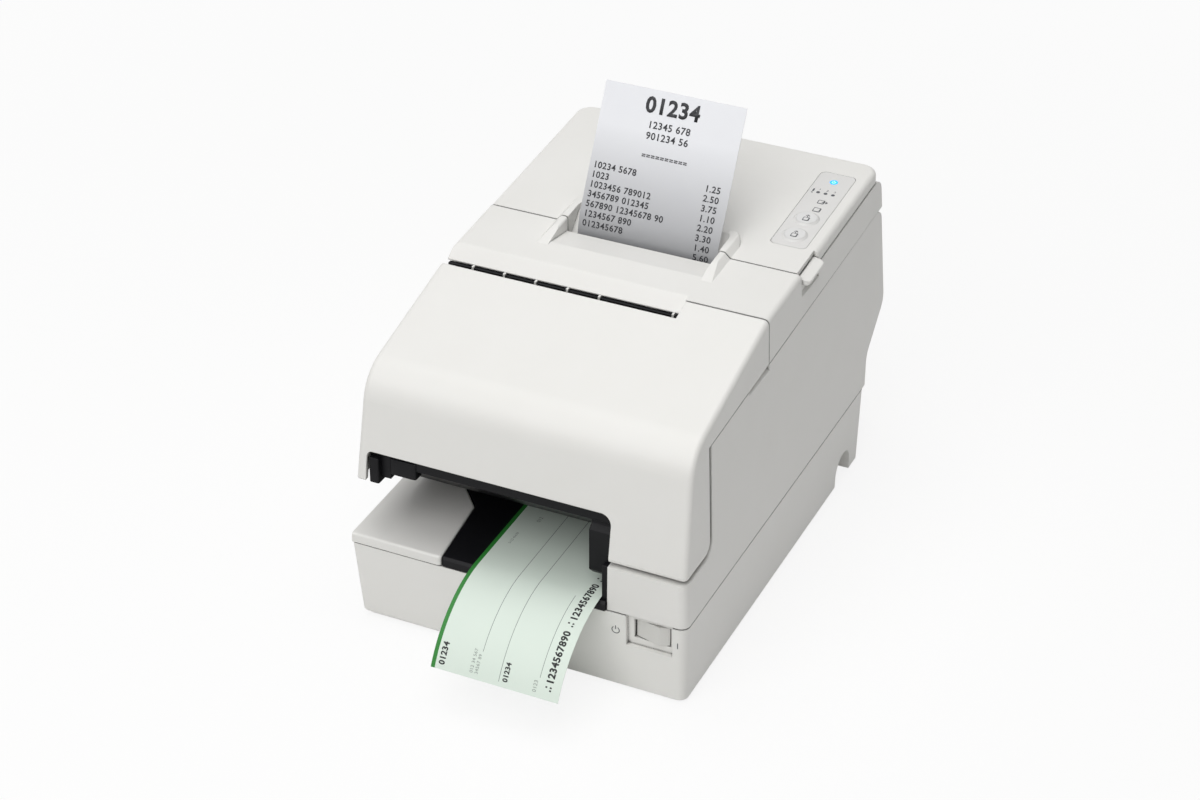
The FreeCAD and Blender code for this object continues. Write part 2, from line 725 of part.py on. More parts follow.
def brow_at(height):
    """Depth of the lower case's front wall at a height."""
    lean = (dim.base_toe - dim.base_brow) / (dim.base_seam - dim.foot_height)
    return dim.base_brow + (dim.base_seam - height) * lean


def hood_front_at(height):
    """Depth of the front cover's front face at a height."""
    rise = dim.brow_height - dim.sill - dim.hood_gap
    lean = (dim.brow_depth - dim.hood_foot) / rise
    return dim.hood_foot + (as_size(height) - dim.sill - dim.hood_gap) * lean


def hood_top_at(depth):
    """Height of the front cover's top at a depth."""
    rise = (dim.top_front - dim.brow_height) / (dim.bridge_front - dim.brow_depth)
    return dim.brow_height + (as_size(depth) - dim.brow_depth) * rise


def side_at(height):
    """Half width of the case at a height above the base seam."""
    lean = dim.side_lean / (lean_height - dim.base_seam)
    return half_width - (as_size(height) - dim.base_seam) * lean


def envelope(name, inset):
    """The space between the leaning sides, drawn in by an inset."""
    corners = [
        (-half_width + dim.left_tuck + inset, dim.foot_height),
        (half_width - dim.right_tuck - inset, dim.foot_height),
        (half_width - inset, dim.base_seam),
        (half_width - dim.side_lean - inset, lean_height),
        (-half_width + dim.side_lean + inset, lean_height),
        (-half_width + inset, dim.base_seam),
    ]
    return prism(name, "XZ_Plane", corners, deep(-dim.wall), deep(dim.body_depth + dim.wall))


def sloping(name, points, low, high):
    """A prism along the sloping top between two depths; heights of its corners count from the top."""
    body = doc.addObject("PartDesign::Body", name)
    sketch = new_sketch(body, "XZ_Plane", -deep(high))
    draw(sketch, [(point[0], top_at(high) + point[1]) + tuple(point[2:]) for point in points])
    pad = body.newObject("PartDesign::Pad", name + "_pad")
    pad.Profile = sketch
    pad.UseCustomVector = True
    pad.Direction = FreeCAD.Vector(0, -1, -dim.top_slope.value)
    bind(pad, "Direction.z", -dim.top_slope)
    bind(pad, "Length", as_size(high) - low)
    return body


def cover_space(name, inset, soft):
    """The space under the sloping top, with rounded long edges, drawn in by an inset."""
    depth = dim.top_front - dim.side_seam + dim.wall * 4
    foot = side_at(dim.side_seam - dim.wall * 4) - inset
    brow = side_at(dim.top_front) - inset
    return sloping(name, [
        (-foot, -depth),
        (foot, -depth),
        (brow, -as_size(inset), soft),
        (-brow, -as_size(inset), soft),
    ], nose_front - dim.wall, dim.body_depth + dim.wall)


outer = envelope("outer_space", 0)
inner = envelope("inner_space", dim.wall)
far = half_width + dim.wall
lid_space = cover_space("lid_space", 0, dim.edge_round)
lid_room = cover_space("lid_room", dim.wall, dim.edge_round / 4)


def spread(sign, low, high):
    """Bounds on the right side, mirrored for the left where the sign is negative."""
    return (low, high) if sign > 0 else (-as_size(high), -as_size(low))


def within(name, item):
    """Trim a solid to the outside of the case."""
    return common(name, item, outer)


def hollow(name, item):
    """Trim a cutting solid to the inside of the case."""
    return common(name, item, inner)


def upright(edge):
    """True for a straight edge that runs mostly upwards."""
    return abs(direction(edge).z) > 0.9


# Lower case: an open tray with a bay for the sockets behind its bulkhead.
floor_top = dim.foot_height + dim.wall
base_block = side("base_block", [
    (dim.base_toe, dim.foot_height),
    (dim.base_heel, dim.foot_height),
    (dim.base_back, dim.base_seam),
    (dim.base_brow, dim.base_seam),
], -far, far)
base_soft = rounded("base_soft", within("base_trim", base_block), dim.base_corner, upright)
base_well = hollow("base_well", side("base_room", [
    (brow_at(floor_top) + dim.wall, floor_top),
    (dim.bulkhead, floor_top),
    (dim.bulkhead, dim.base_seam + dim.wall),
    (brow_at(dim.base_seam + dim.wall) + dim.wall, dim.base_seam + dim.wall),
], -far, far))
bay_front = dim.bulkhead + dim.wall
base_bay = box(
    "base_bay",
    (-bay_half, bay_half),
    (deep(bay_front), deep(dim.base_back + dim.wall)),
    (0, dim.base_seam - dim.wall),
)
arch_back = dim.arch_front + dim.arch_width
arch_round = dim.arch_width / 2 - dim.seam / 2
base_arch = side("base_arch", [
    (dim.arch_front, 0),
    (arch_back, 0),
    (arch_back, dim.arch_height, arch_round),
    (dim.arch_front, dim.arch_height, arch_round),
], -far, far)
base_port = box(
    "base_port",
    (-dim.port_half, dim.port_half),
    (deep(dim.bulkhead - dim.wall), deep(bay_front + dim.wall)),
    (dim.port_low, dim.port_high),
)
switch_window = box(
    "switch_window",
    (switch_left, switch_right),
    (deep(-dim.wall), deep(dim.base_toe + dim.wall * 2)),
    (dim.switch_low, dim.base_seam + dim.wall),
)
foot_rows = (dim.foot_inset + dim.base_toe, dim.bulkhead - dim.foot_inset)
foot_spots = [(x, deep(row)) for row in foot_rows for x in (
    -half_width + dim.left_tuck + dim.foot_inset, half_width - dim.left_tuck - dim.foot_inset)]
foot_seats = [rod("foot_seat", "z", 0, dim.foot_height + dim.foot_sink, spot, dim.foot_radius)
              for spot in foot_spots]
feed_height = dim.table_top + dim.form_lift - dim.feed_gap - dim.feed_radius
ledges = [box(
    "frame_ledge",
    bounds,
    (deep(dim.frame_front), deep(dim.bulkhead)),
    (dim.base_seam - dim.ledge_height, dim.base_seam),
) for bounds in (
    (half_width - dim.wall - dim.ledge_width, half_width - dim.wall / 2),
    (-half_width + dim.wall / 2, -half_width + dim.wall + dim.ledge_width),
)]
post_foot = floor_top - dim.wall / 2
posts = []
for left in (dim.feed_left, dim.feed_right):
    posts.append(box(
        "bearing_post",
        (left, left + dim.bearing_wide),
        (deep(dim.feed_depth - dim.bearing_half), deep(dim.feed_depth + dim.bearing_half)),
        (post_foot, feed_height + dim.feed_shaft),
    ))
slip_gear_radius = dim.slip_teeth * dim.tooth_module / 2
pinion_radius = dim.pinion_teeth * dim.tooth_module / 2
slip_motor_height = feed_height - slip_gear_radius - pinion_radius
motor_post = box(
    "motor_post",
    (dim.slip_motor_wall, dim.slip_motor_wall + dim.bearing_wide),
    (deep(dim.feed_depth - dim.slip_motor_radius), deep(dim.feed_depth + dim.slip_motor_radius)),
    (post_foot, slip_motor_height + dim.slip_motor_radius),
)
board_spots = [(x, deep(row)) for x in (-dim.board_half + dim.board_post * 2,
                                        dim.board_half - dim.board_post * 2)
               for row in (dim.board_front + dim.board_post * 2, dim.bulkhead - dim.board_post * 4)]
board_posts = [rod("board_post", "z", post_foot, dim.board_height, spot, dim.board_post)
               for spot in board_spots]
bush_seats = [rod(
    "bush_seat", "x",
    left - dim.wall, left + dim.bearing_wide + dim.wall,
    (deep(dim.feed_depth), feed_height), dim.feed_bush,
) for left in (dim.feed_left, dim.feed_right)]
bush_slots = [box(
    "bush_slot",
    (left - dim.wall, left + dim.bearing_wide + dim.wall),
    (deep(dim.feed_depth - dim.feed_bush), deep(dim.feed_depth + dim.feed_bush)),
    (feed_height, feed_height + dim.feed_radius),
) for left in (dim.feed_left, dim.feed_right)]
motor_hole = rod(
    "motor_hole", "x",
    dim.slip_motor_wall - dim.wall, dim.slip_motor_wall + dim.bearing_wide + dim.wall,
    (deep(dim.feed_depth), slip_motor_height), dim.motor_boss,
)
base_shell = cut("base_shell", base_soft, base_well, base_bay, base_arch, base_port,
                 switch_window, together("foot_seats", *foot_seats))
base_posts = together("base_posts", motor_post, *ledges, *posts, *board_posts)
base_fitted = fuse("base_fitted", base_shell, base_posts)
piece("lower_case", cut("lower_case", base_fitted, together("base_bores", motor_hole, *bush_seats),
                        together("base_slots", *bush_slots)))
piece("rubber_feet", together("rubber_feet", *[
    rod("rubber_foot", "z", 0, dim.foot_height + dim.foot_sink, spot, dim.foot_radius)
    for spot in foot_spots]))

# Power switch: a bezel with the switch body, and a rocker on an upright pivot.
bezel_low = dim.switch_low - dim.bezel_margin
bezel_high = dim.base_seam - dim.seam
inside_low = brow_at(bezel_low) + dim.wall
inside_high = brow_at(bezel_high) + dim.wall
bezel_plate = side("bezel_plate", [
    (inside_low, bezel_low),
    (inside_low + dim.bezel_thick, bezel_low),
    (inside_high + dim.bezel_thick, bezel_high),
    (inside_high, bezel_high),
], switch_left - dim.bezel_margin, switch_right + dim.bezel_margin)
rocker_face = inside_high + dim.bezel_thick
rocker_back = rocker_face + dim.rocker_depth
switch_block = box(
    "switch_block",
    (rocker_left - dim.rocker_gap - dim.wall, rocker_right + dim.rocker_gap + dim.wall),
    (deep(rocker_face - dim.bezel_thick / 2), deep(rocker_face + dim.switch_body)),
    (dim.rocker_low - dim.rocker_gap - dim.bezel_thick, bezel_high),
)
rocker_room = box(
    "rocker_room",
    (rocker_left - dim.rocker_gap, rocker_right + dim.rocker_gap),
    (deep(0), deep(rocker_back + dim.rocker_depth)),
    (dim.rocker_low - dim.rocker_gap / 2, dim.rocker_high + dim.rocker_gap / 2),
)
pivot_x = (rocker_left + rocker_right) / 2
pivot_y = deep(rocker_face + dim.rocker_depth / 2)
pivot_hole = rod(
    "pivot_hole", "z",
    dim.rocker_low - dim.rocker_gap - dim.wall, dim.rocker_high + dim.rocker_gap + dim.rocker_pin,
    (pivot_x, pivot_y), dim.rocker_pin + dim.running,
)
piece("switch_bezel", cut("switch_bezel", fuse("bezel_body", bezel_plate, switch_block),
                          rocker_room, pivot_hole))
rocker_body = plan("rocker_body", [
    (rocker_left, rocker_face),
    (rocker_ridge, rocker_face - dim.rocker_rise, 1),
    (rocker_right, rocker_face - dim.rocker_rise / 3),
    (rocker_right, rocker_back),
    (rocker_left, rocker_back),
], dim.rocker_low, dim.rocker_high)
rocker_axle = rod(
    "rocker_axle", "z",
    dim.rocker_low - dim.rocker_gap - dim.rocker_pin, dim.rocker_high + dim.rocker_gap,
    (pivot_x, pivot_y), dim.rocker_pin,
)
piece("power_switch", fuse("power_switch", rocker_body, rocker_axle))

# Slip table, bed and the rear wall of the slip path.
table_block = plan("table_block", [
    (-far, 0),
    (dim.table_right, 0, 2),
    (dim.table_right - dim.table_taper, dim.table_straight, 4),
    (dim.table_back, dim.table_depth),
    (-far, dim.table_depth),
], dim.base_seam + dim.seam, dim.table_top)
table_soft = rounded("table_soft", within("table_trim", table_block), dim.bed_lip,
                     lambda e: abs(direction(e).x) > 0.99 and e.BoundBox.ZMin > dim.table_top.value - 0.1
                     and e.BoundBox.YMax < deep(dim.wall).value)
piece("slip_table", table_soft)
bed_top = dim.table_top - dim.bed_drop
bed_low = dim.base_seam + dim.seam
bed_slab = plan("bed_slab", [
    (dim.table_right + dim.seam, dim.seam),
    (dim.throat_right - dim.seam, dim.seam),
    (dim.throat_right - dim.seam, dim.slot_wall - dim.slip_bend),
    (throat_left, dim.slot_wall - dim.slip_bend),
    (throat_left, dim.table_depth + dim.seam),
    (dim.table_back + dim.seam, dim.table_depth + dim.seam),
    (dim.table_right - dim.table_taper + dim.seam, dim.table_straight + dim.seam, 4),
], bed_low, bed_top)
bed_bevel = side("bed_bevel", [
    (dim.seam - dim.wall, bed_top + dim.wall),
    (dim.seam - dim.wall, bed_top - dim.bed_lip),
    (dim.seam, bed_top - dim.bed_lip),
    (dim.seam + dim.bed_lip, bed_top),
    (dim.seam + dim.bed_lip, bed_top + dim.wall),
], -far, far)
slot_back = dim.slot_wall + dim.guide_thick
facet_head = nose_front + dim.facet_depth
facet_low = top_at(facet_head) - dim.facet_height
slot_top = facet_low - dim.nose_lip - dim.seam
rib_places = [dim.rib_first + dim.rib_pitch * number for number in range(int(dim.rib_count.value))]
rib_places.append(dim.rib_last)
rib_low = facet_low - dim.rib_set - dim.rib_tall
bend_start = dim.slot_wall - dim.slip_bend
bed_rise = side("bed_rise", [
    (bend_start - dim.seam, bed_top),
    (dim.slot_wall, bed_top, dim.slip_bend),
    (dim.slot_wall, slot_top),
    (slot_back, slot_top),
    (slot_back, bed_low, dim.slip_bend + dim.guide_thick),
    (bend_start - dim.seam, bed_low),
], throat_left, dim.throat_right - dim.seam)
roller_spots = (dim.feed_first, dim.feed_first + dim.feed_pitch)
roller_windows = [box(
    "roller_window",
    (left - dim.feed_window, left + dim.feed_wide + dim.feed_window),
    (deep(dim.feed_depth - dim.feed_radius - dim.feed_window),
     deep(dim.feed_depth + dim.feed_radius + dim.feed_window)),
    (bed_low - dim.wall, bed_top + dim.wall),
) for left in roller_spots]
shaft_groove = box(
    "shaft_groove",
    (dim.feed_left - dim.wall, dim.throat_right + dim.wall),
    (deep(dim.feed_depth - dim.bearing_half - dim.seam), deep(dim.feed_depth + dim.bearing_half + dim.seam)),
    (bed_low - dim.wall, feed_height + dim.feed_shaft + dim.seam),
)
bush_grooves = together("bush_grooves", *[box(
    "bush_groove",
    (left - dim.seam, left + dim.bearing_wide + dim.seam),
    (deep(dim.feed_depth - dim.feed_bush - dim.seam), deep(dim.feed_depth + dim.feed_bush + dim.seam)),
    (bed_low - dim.wall, feed_height + dim.feed_bush + dim.seam),
) for left in (dim.feed_left, dim.feed_right)])
gear_groove = box(
    "gear_groove",
    (dim.slip_gear_left - dim.seam, dim.throat_right + dim.wall),
    (deep(dim.feed_depth - slip_gear_radius - dim.wall), deep(dim.feed_depth + slip_gear_radius + dim.wall)),
    (bed_low - dim.wall, bed_top + dim.wall),
)
rib_slots = together("rib_slots", *[box(
    "rib_slot",
    (place - dim.seam, place + dim.rib_thick + dim.seam),
    (deep(dim.slot_wall - dim.wall), deep(slot_back + dim.wall)),
    (rib_low - dim.seam, slot_top + dim.wall),
) for place in rib_places])
bed_windows = together("roller_windows", *roller_windows)
piece("slip_bed", cut("slip_bed", fuse("bed_body", bed_slab, bed_rise), bed_bevel,
                      shaft_groove, bush_grooves, gear_groove, bed_windows, rib_slots))

# Main case: the rear body with the right side panel and the panel under the front cover.
wall_front = slot_back + dim.seam
ring_rear = dim.body_depth - dim.crest_set
case_rear = side("case_rear", [
    (wall_front, dim.base_seam + dim.seam),
    (dim.base_back, dim.base_seam + dim.seam),
    (dim.body_depth - dim.heel_set, dim.heel_height, dim.heel_round),
    (dim.body_depth, dim.hip_height, dim.hip_round),
    (rear_at(seam_at(ring_rear)), seam_at(ring_rear), dim.rear_round),
    (wall_front, seam_at(wall_front)),
], -far, far)
cheek_edge = dim.cheek_depth + dim.seam
case_cheek = side("case_cheek", [
    (dim.base_brow + dim.seam, dim.base_seam + dim.seam),
    (wall_front + dim.wall, dim.base_seam + dim.seam),
    (wall_front + dim.wall, seam_at(wall_front + dim.wall)),
    (cheek_edge, seam_at(cheek_edge)),
    (cheek_edge, dim.sill, dim.cheek_round + dim.seam),
    (dim.hood_foot - dim.seam, dim.sill),
], dim.throat_right, far)
case_outer = within("case_trim", fuse("case_block", case_rear, case_cheek))
case_soft = rounded("case_soft", case_outer, dim.base_corner, lambda e: upright(e)
                    and e.BoundBox.XMin > half_width.value - 1
                    and e.BoundBox.YMax < deep(dim.base_corner).value)
above = lean_height - dim.wall
case_room = hollow("case_room", side("case_space", [
    (wall_front + dim.wall, dim.base_seam - dim.wall),
    (dim.base_back - dim.wall, dim.base_seam - dim.wall),
    (dim.body_depth - dim.heel_set - dim.wall, dim.heel_height + dim.wall / 2, dim.heel_round),
    (dim.body_depth - dim.wall, dim.hip_height, dim.hip_round - dim.wall),
    (rear_at(above) - dim.wall, above),
    (wall_front + dim.wall, above),
], -far, far))
cheek_room = hollow("cheek_room", side("cheek_space", [
    (dim.hood_foot + dim.wall, dim.base_seam - dim.wall),
    (wall_front + dim.wall * 2, dim.base_seam - dim.wall),
    (wall_front + dim.wall * 2, above),
    (cheek_edge + dim.wall, above),
    (cheek_edge + dim.wall, dim.sill - dim.wall),
    (dim.hood_foot + dim.wall, dim.sill - dim.wall),
], dim.throat_right + dim.wall, far))
tab_back = dim.bridge_front
tab_cut = prism("tab_cut", "XZ_Plane", [
    (side_at(dim.side_seam) - dim.wall * 2 / 3, dim.side_seam + dim.wall),
    (side_at(dim.side_seam) - dim.wall * 2 / 3, dim.side_seam - dim.tab_drop / 2),
    (far, dim.side_seam - dim.tab_drop * 3 / 2),
    (far, dim.side_seam + dim.wall),
], deep(dim.tab_front), deep(tab_back))
hinge_height = dim.sill + dim.hinge_rise
hinge_centre = (deep(dim.hinge_depth), hinge_height)
ear_spots = (dim.hinge_left, hinge_right - dim.ear_wide)
case_ears = []
ear_foot = dim.hinge_depth + dim.hinge_swing
for left in ear_spots:
    case_ears.append(rod("ear_round", "x", left, left + dim.ear_wide, hinge_centre, dim.hinge_ear))
    case_ears.append(side("ear_arm", [
        (dim.hinge_depth, hinge_height - dim.hinge_ear),
        (ear_foot, hinge_height - dim.hinge_ear),
        (ear_foot, dim.sill - dim.wall / 2),
        (ear_foot + dim.hinge_ear * 2, dim.sill - dim.wall / 2),
        (ear_foot + dim.hinge_ear * 2, hinge_height + dim.hinge_ear, dim.hinge_ear),
        (dim.hinge_depth, hinge_height + dim.hinge_ear),
    ], left, left + dim.ear_wide))
hinge_run = rod("hinge_run", "x", dim.hinge_left - dim.wall, hinge_right + dim.wall,
                hinge_centre, dim.hinge_pin)
lid_line = dim.lid_depth + dim.seam
tongue_top = top_at(ring_rear) - lid_line - dim.wall
tongue_low = seam_at(ring_rear) - dim.wall
tongue_half = lid_ear_in - dim.seam
rear_tongue = side("rear_tongue", [
    (rear_at(tongue_low) - dim.wall, tongue_low),
    (rear_at(tongue_low), tongue_low),
    (rear_at(tongue_top), tongue_top),
    (rear_at(tongue_top) - dim.wall, tongue_top),
], -tongue_half, tongue_half)
case_shell = cut("case_shell", case_soft, case_room, cheek_room, tab_cut)
case_eared = fuse("case_eared", case_shell, rear_tongue, *case_ears)
piece("main_case", cut("main_case", case_eared, hinge_run))
pin_pairs = (
    (dim.hinge_left, dim.hinge_left + dim.ear_wide + dim.knuckle_gap + dim.knuckle_wide),
    (hinge_right - dim.ear_wide - dim.knuckle_gap - dim.knuckle_wide, hinge_right),
)
piece("front_hinge_pins", together("front_hinge_pins", *[
    rod("front_hinge_pin", "x", low, high, hinge_centre, dim.hinge_pin) for low, high in pin_pairs]))

# Front cover: a leaning front that rolls over into the top, open behind and below.
hood_low = dim.sill + dim.hood_gap
hood_rear = dim.bridge_front - dim.cover_gap
hood_left = side("hood_left", [
    (hood_front_at(dim.leg_foot), dim.leg_foot),
    (dim.brow_depth, dim.brow_height, dim.brow_round),
    (dim.hood_back, hood_top_at(dim.hood_back)),
    (dim.hood_back, dim.leg_foot),
], -far, dim.slot_right)
hood_right = side("hood_right", [
    (dim.hood_foot, hood_low, dim.hood_toe_round),
    (dim.brow_depth, dim.brow_height, dim.brow_round),
    (hood_rear, hood_top_at(hood_rear)),
    (hood_rear, seam_at(hood_rear) + dim.seam),
    (dim.cheek_depth, seam_at(dim.cheek_depth) + dim.seam),
    (dim.cheek_depth, hood_low, dim.cheek_round),
], dim.slot_right - dim.wall, far)
hood_trim = within("hood_trim", fuse("hood_block", hood_left, hood_right))


def hood_edge(edge):
    """True for the edges where the front cover's front and top meet its sides."""
    middle = edge.valueAt((edge.FirstParameter + edge.LastParameter) / 2)
    depth = middle.y - front.value
    if abs(middle.x) < half_width.value - 6:
        return False
    on_front = abs(depth - hood_front_at(middle.z).value) < 0.6 and middle.z < dim.brow_height.value - 5
    on_top = abs(middle.z - hood_top_at(depth).value) < 0.6 and depth > dim.brow_depth.value + 5
    on_brow = depth < dim.brow_depth.value + 15 and middle.z > dim.brow_height.value - 16
    return on_front or on_top or on_brow


hood_soft = rounded("hood_soft", hood_trim, dim.edge_round, hood_edge)
hood_inside = dim.brow_round - dim.wall
hood_room = hollow("hood_room", side("hood_space", [
    (hood_front_at(dim.base_seam) + dim.wall, dim.base_seam),
    (dim.brow_depth + dim.wall, dim.brow_height - dim.wall, hood_inside),
    (dim.body_depth, hood_top_at(dim.body_depth) - dim.wall),
    (dim.body_depth, dim.base_seam),
], -far, far))
hood_notch = prism("hood_notch", "XZ_Plane", [
    (notch_left, dim.base_seam),
    (dim.throat_right, dim.base_seam),
    (dim.throat_right, dim.notch_top, dim.notch_round),
    (notch_left, dim.notch_top, dim.notch_round / 2),
], deep(-dim.wall), deep(dim.hood_back / 2))
ear_room = dim.hinge_ear + dim.knuckle_gap
ear_pockets = [box(
    "ear_pocket",
    (left - dim.knuckle_gap, left + dim.ear_wide + dim.knuckle_gap),
    (deep(dim.hinge_depth - ear_room), deep(dim.hinge_depth + dim.hinge_ear * 2)),
    (hood_low - dim.wall, hinge_height + ear_room),
) for left in ear_spots]
knuckles = []
for left in (dim.hinge_left + dim.ear_wide + dim.knuckle_gap,
             hinge_right - dim.ear_wide - dim.knuckle_gap - dim.knuckle_wide):
    knuckles.append(rod("knuckle_round", "x", left, left + dim.knuckle_wide, hinge_centre, dim.hinge_ear))
    knuckles.append(box(
        "knuckle_stem",
        (left, left + dim.knuckle_wide),
        (deep(hood_front_at(hinge_height) + dim.wall / 2), deep(dim.hinge_depth)),
        (hinge_height - dim.hinge_ear, hinge_height + dim.hinge_ear),
    ))
knuckle_bore = rod("knuckle_bore", "x", dim.hinge_left, hinge_right, hinge_centre,
                   dim.hinge_pin + dim.running)
hood_shell = cut("hood_shell", hood_soft, hood_room, hood_notch)
hood_hinged = fuse("hood_hinged", hood_shell, *knuckles)
piece("front_cover", cut("front_cover", hood_hinged, knuckle_bore, together("ear_pockets", *ear_pockets)))

# Mid cover: a fixed ring with the paper ramp in front and a band down each side.
ring_front = dim.bridge_front
nose_right = dim.slot_right - dim.wall - dim.seam
ring_block = side("ring_block", [
    (nose_front, seam_at(nose_front) + dim.seam),
    (rear_at(seam_at(ring_rear) + dim.seam), seam_at(ring_rear) + dim.seam),
    (rear_at(top_at(ring_rear) - lid_line), top_at(ring_rear) - lid_line, dim.rear_round),
    (cover_seam, top_at(cover_seam) - lid_line),
    (cover_seam, lean_height),
    (nose_front, lean_height),
], -far, far)
ring_soft = common("ring_soft", ring_block, lid_space)
nose_low = facet_low - dim.nose_lip
nose_cut = side("nose_cut", [
    (nose_front - dim.wall, dim.side_seam - dim.wall),
    (ring_front, dim.side_seam - dim.wall),
    (ring_front, nose_low),
    (nose_front - dim.wall, nose_low),
], -far, far)
nose_end = box(
    "nose_end",
    (nose_right, far),
    (deep(nose_front - dim.wall), deep(ring_front)),
    (dim.side_seam, lean_height),
)
facet_cut = side("facet_cut", [
    (nose_front - dim.wall, lean_height),
    (nose_front - dim.wall, facet_low),
    (nose_front, facet_low),
    (facet_head, top_at(facet_head)),
    (facet_head, lean_height),
], -far, nose_right)
facet_slope = dim.facet_height / dim.facet_depth
room_front = ring_front + dim.wall
facet_inside = facet_low + (room_front - nose_front) * facet_slope - dim.facet_wall
lip_height = top_at(ramp_lip) - dim.ramp_drop
ramp_cut = side("ramp_cut", [
    (ramp_front, lean_height),
    (ramp_front, top_at(ramp_front)),
    (ramp_lip, lip_height),
    (ramp_lip, dim.side_seam - dim.wall),
    (cover_seam + dim.wall, dim.side_seam - dim.wall),
    (cover_seam + dim.wall, lean_height),
], -dim.exit_half, dim.exit_half)
bridge_room = hollow("bridge_room", fuse("bridge_spaces", side("bridge_space", [
    (room_front, dim.side_seam - dim.wall),
    (room_front, facet_inside),
    (facet_head + dim.wall / 2, top_at(facet_head) - dim.wall),
    (ramp_front - dim.wall / 2, top_at(ramp_front) - dim.wall),
    (ramp_lip, lip_height - dim.wall),
    (cover_seam + dim.wall, lip_height - dim.wall),
    (cover_seam + dim.wall, dim.side_seam - dim.wall),
], -far, far), *[side("flank_space", [
    (facet_head, dim.side_seam - dim.wall),
    (facet_head, top_at(facet_head) - dim.wall),
    (cover_seam - dim.wall, top_at(cover_seam - dim.wall) - dim.wall),
    (cover_seam - dim.wall, dim.side_seam - dim.wall),
], low, high) for low, high in (
    (dim.exit_half + dim.rim_wide, far), (-far, -dim.exit_half - dim.rim_wide))]))
ring_room = hollow("ring_room", side("ring_space", [
    (cover_seam, dim.side_seam - dim.wall),
    (rear_at(dim.side_seam - dim.wall) - dim.wall, dim.side_seam - dim.wall),
    (rear_at(lean_height) - dim.wall, lean_height),
    (cover_seam, lean_height),
], -far, far))
ribs = [box(
    "slot_rib",
    (place, place + dim.rib_thick),
    (deep(dim.slot_wall), deep(ring_front + dim.wall / 2)),
    (rib_low, facet_low - dim.rib_set),
) for place in rib_places]
rim_half = dim.exit_half + dim.rim_wide
rim_flat = dim.exit_half + dim.rim_crown
rim_slope = side("rim_slope", [
    (rim_front, top_at(rim_front) - dim.wall),
    (cover_seam, top_at(cover_seam) - dim.wall),
    (cover_seam, top_at(cover_seam) + dim.rim_rise),
    (rim_front + dim.rim_taper, top_at(rim_front + dim.rim_taper) + dim.rim_rise, dim.rim_taper),
    (rim_front, top_at(rim_front)),
], -rim_half, rim_half)
ring_rims = [common("ring_rim", sloping("rim_bar", [
    (dim.exit_half * sign, -dim.wall / 2),
    (rim_half * sign, -dim.wall / 2),
    (rim_half * sign, 0),
    (rim_flat * sign, dim.rim_rise, dim.rim_soft),
    (dim.exit_half * sign, dim.rim_rise, dim.rim_soft),
], rim_front, cover_seam), rim_slope) for sign in (1, -1)]
lid_hinge_depth = dim.body_depth - dim.lid_hinge_set
lid_centre = (deep(lid_hinge_depth), dim.lid_hinge_height)
ear_out = lid_ear_in + dim.lid_ear_thick
ear_bend = dim.lid_ear_half - dim.seam
boss_in = ear_out + dim.seam
boss_far = side_at(dim.lid_hinge_height) - dim.wall / 2
bosses = []
boss_bores = []
lid_pins = []
lid_ears = []
for sign in (1, -1):
    low, high = spread(sign, boss_in, boss_far)
    bosses.append(rod("hinge_boss", "x", low, high, lid_centre, dim.boss_round))
    low, high = spread(sign, boss_in - dim.wall, boss_far - dim.wall)
    boss_bores.append(rod("boss_bore", "x", low, high, lid_centre, dim.lid_pin))
    low, high = spread(sign, lid_ear_in, boss_far - dim.wall)
    lid_pins.append(rod("lid_hinge_pin", "x", low, high, lid_centre, dim.lid_pin))
    low, high = spread(sign, lid_ear_in, ear_out)
    ear = side("lid_ear", [
        (lid_hinge_depth - dim.lid_ear_half, dim.lid_hinge_height - dim.lid_ear_half, ear_bend),
        (lid_hinge_depth + dim.lid_ear_half, dim.lid_hinge_height - dim.lid_ear_half, ear_bend),
        (lid_hinge_depth + dim.lid_pin, top_at(lid_hinge_depth) - dim.wall / 2),
        (lid_hinge_depth - dim.lid_ear_half, top_at(lid_hinge_depth - dim.lid_ear_half) - dim.wall / 2),
    ], low, high)
    bore = rod("ear_bore", "x", low - dim.wall, high + dim.wall, lid_centre, dim.lid_pin + dim.running)
    lid_ears.append(cut("lid_ear_bored", ear, bore))
middle_cut = box(
    "middle_cut",
    (-boss_in, boss_in),
    (deep(lid_hinge_depth - dim.lid_ear_half), deep(dim.body_depth + dim.wall)),
    (dim.side_seam - dim.wall * 4, lean_height),
)
scoop_side = side_at(dim.top_front) - dim.scoop_deep
scoop_top = top_at(cover_seam) - lid_line
scoop = prism("scoop", "XZ_Plane", [
    (scoop_side, scoop_top - dim.scoop_drop / 2),
    (far, scoop_top - dim.scoop_drop),
    (far, lean_height),
    (scoop_side, lean_height),
], deep(cover_seam + dim.seam), deep(lever_back + dim.seam))
lever_front = cover_seam + dim.cover_gap + dim.seam
hook_low = top_at(lever_front) - dim.hook_drop
catch_low = hook_low + dim.hook_nose + dim.catch_gap
hook_in = lever_in - dim.hook_thick
catch = box(
    "catch",
    (hook_in + dim.seam / 2, scoop_side - dim.seam),
    (deep(catch_depth), deep(catch_depth + dim.catch_long)),
    (catch_low, catch_low + dim.catch_high),
)
ring_shell = cut("ring_shell", ring_soft, nose_cut, nose_end, facet_cut, bridge_room, ring_room,
                 middle_cut)
ring_full = fuse("ring_full", ring_shell, together("ring_fittings", *ring_rims, *bosses, catch, *ribs))
ring_cuts = together("ring_cuts", ramp_cut, scoop, *boss_bores)
piece("mid_cover", cut("mid_cover", ring_full, ring_cuts))
piece("roll_hinge_pins", together("roll_hinge_pins", *lid_pins))

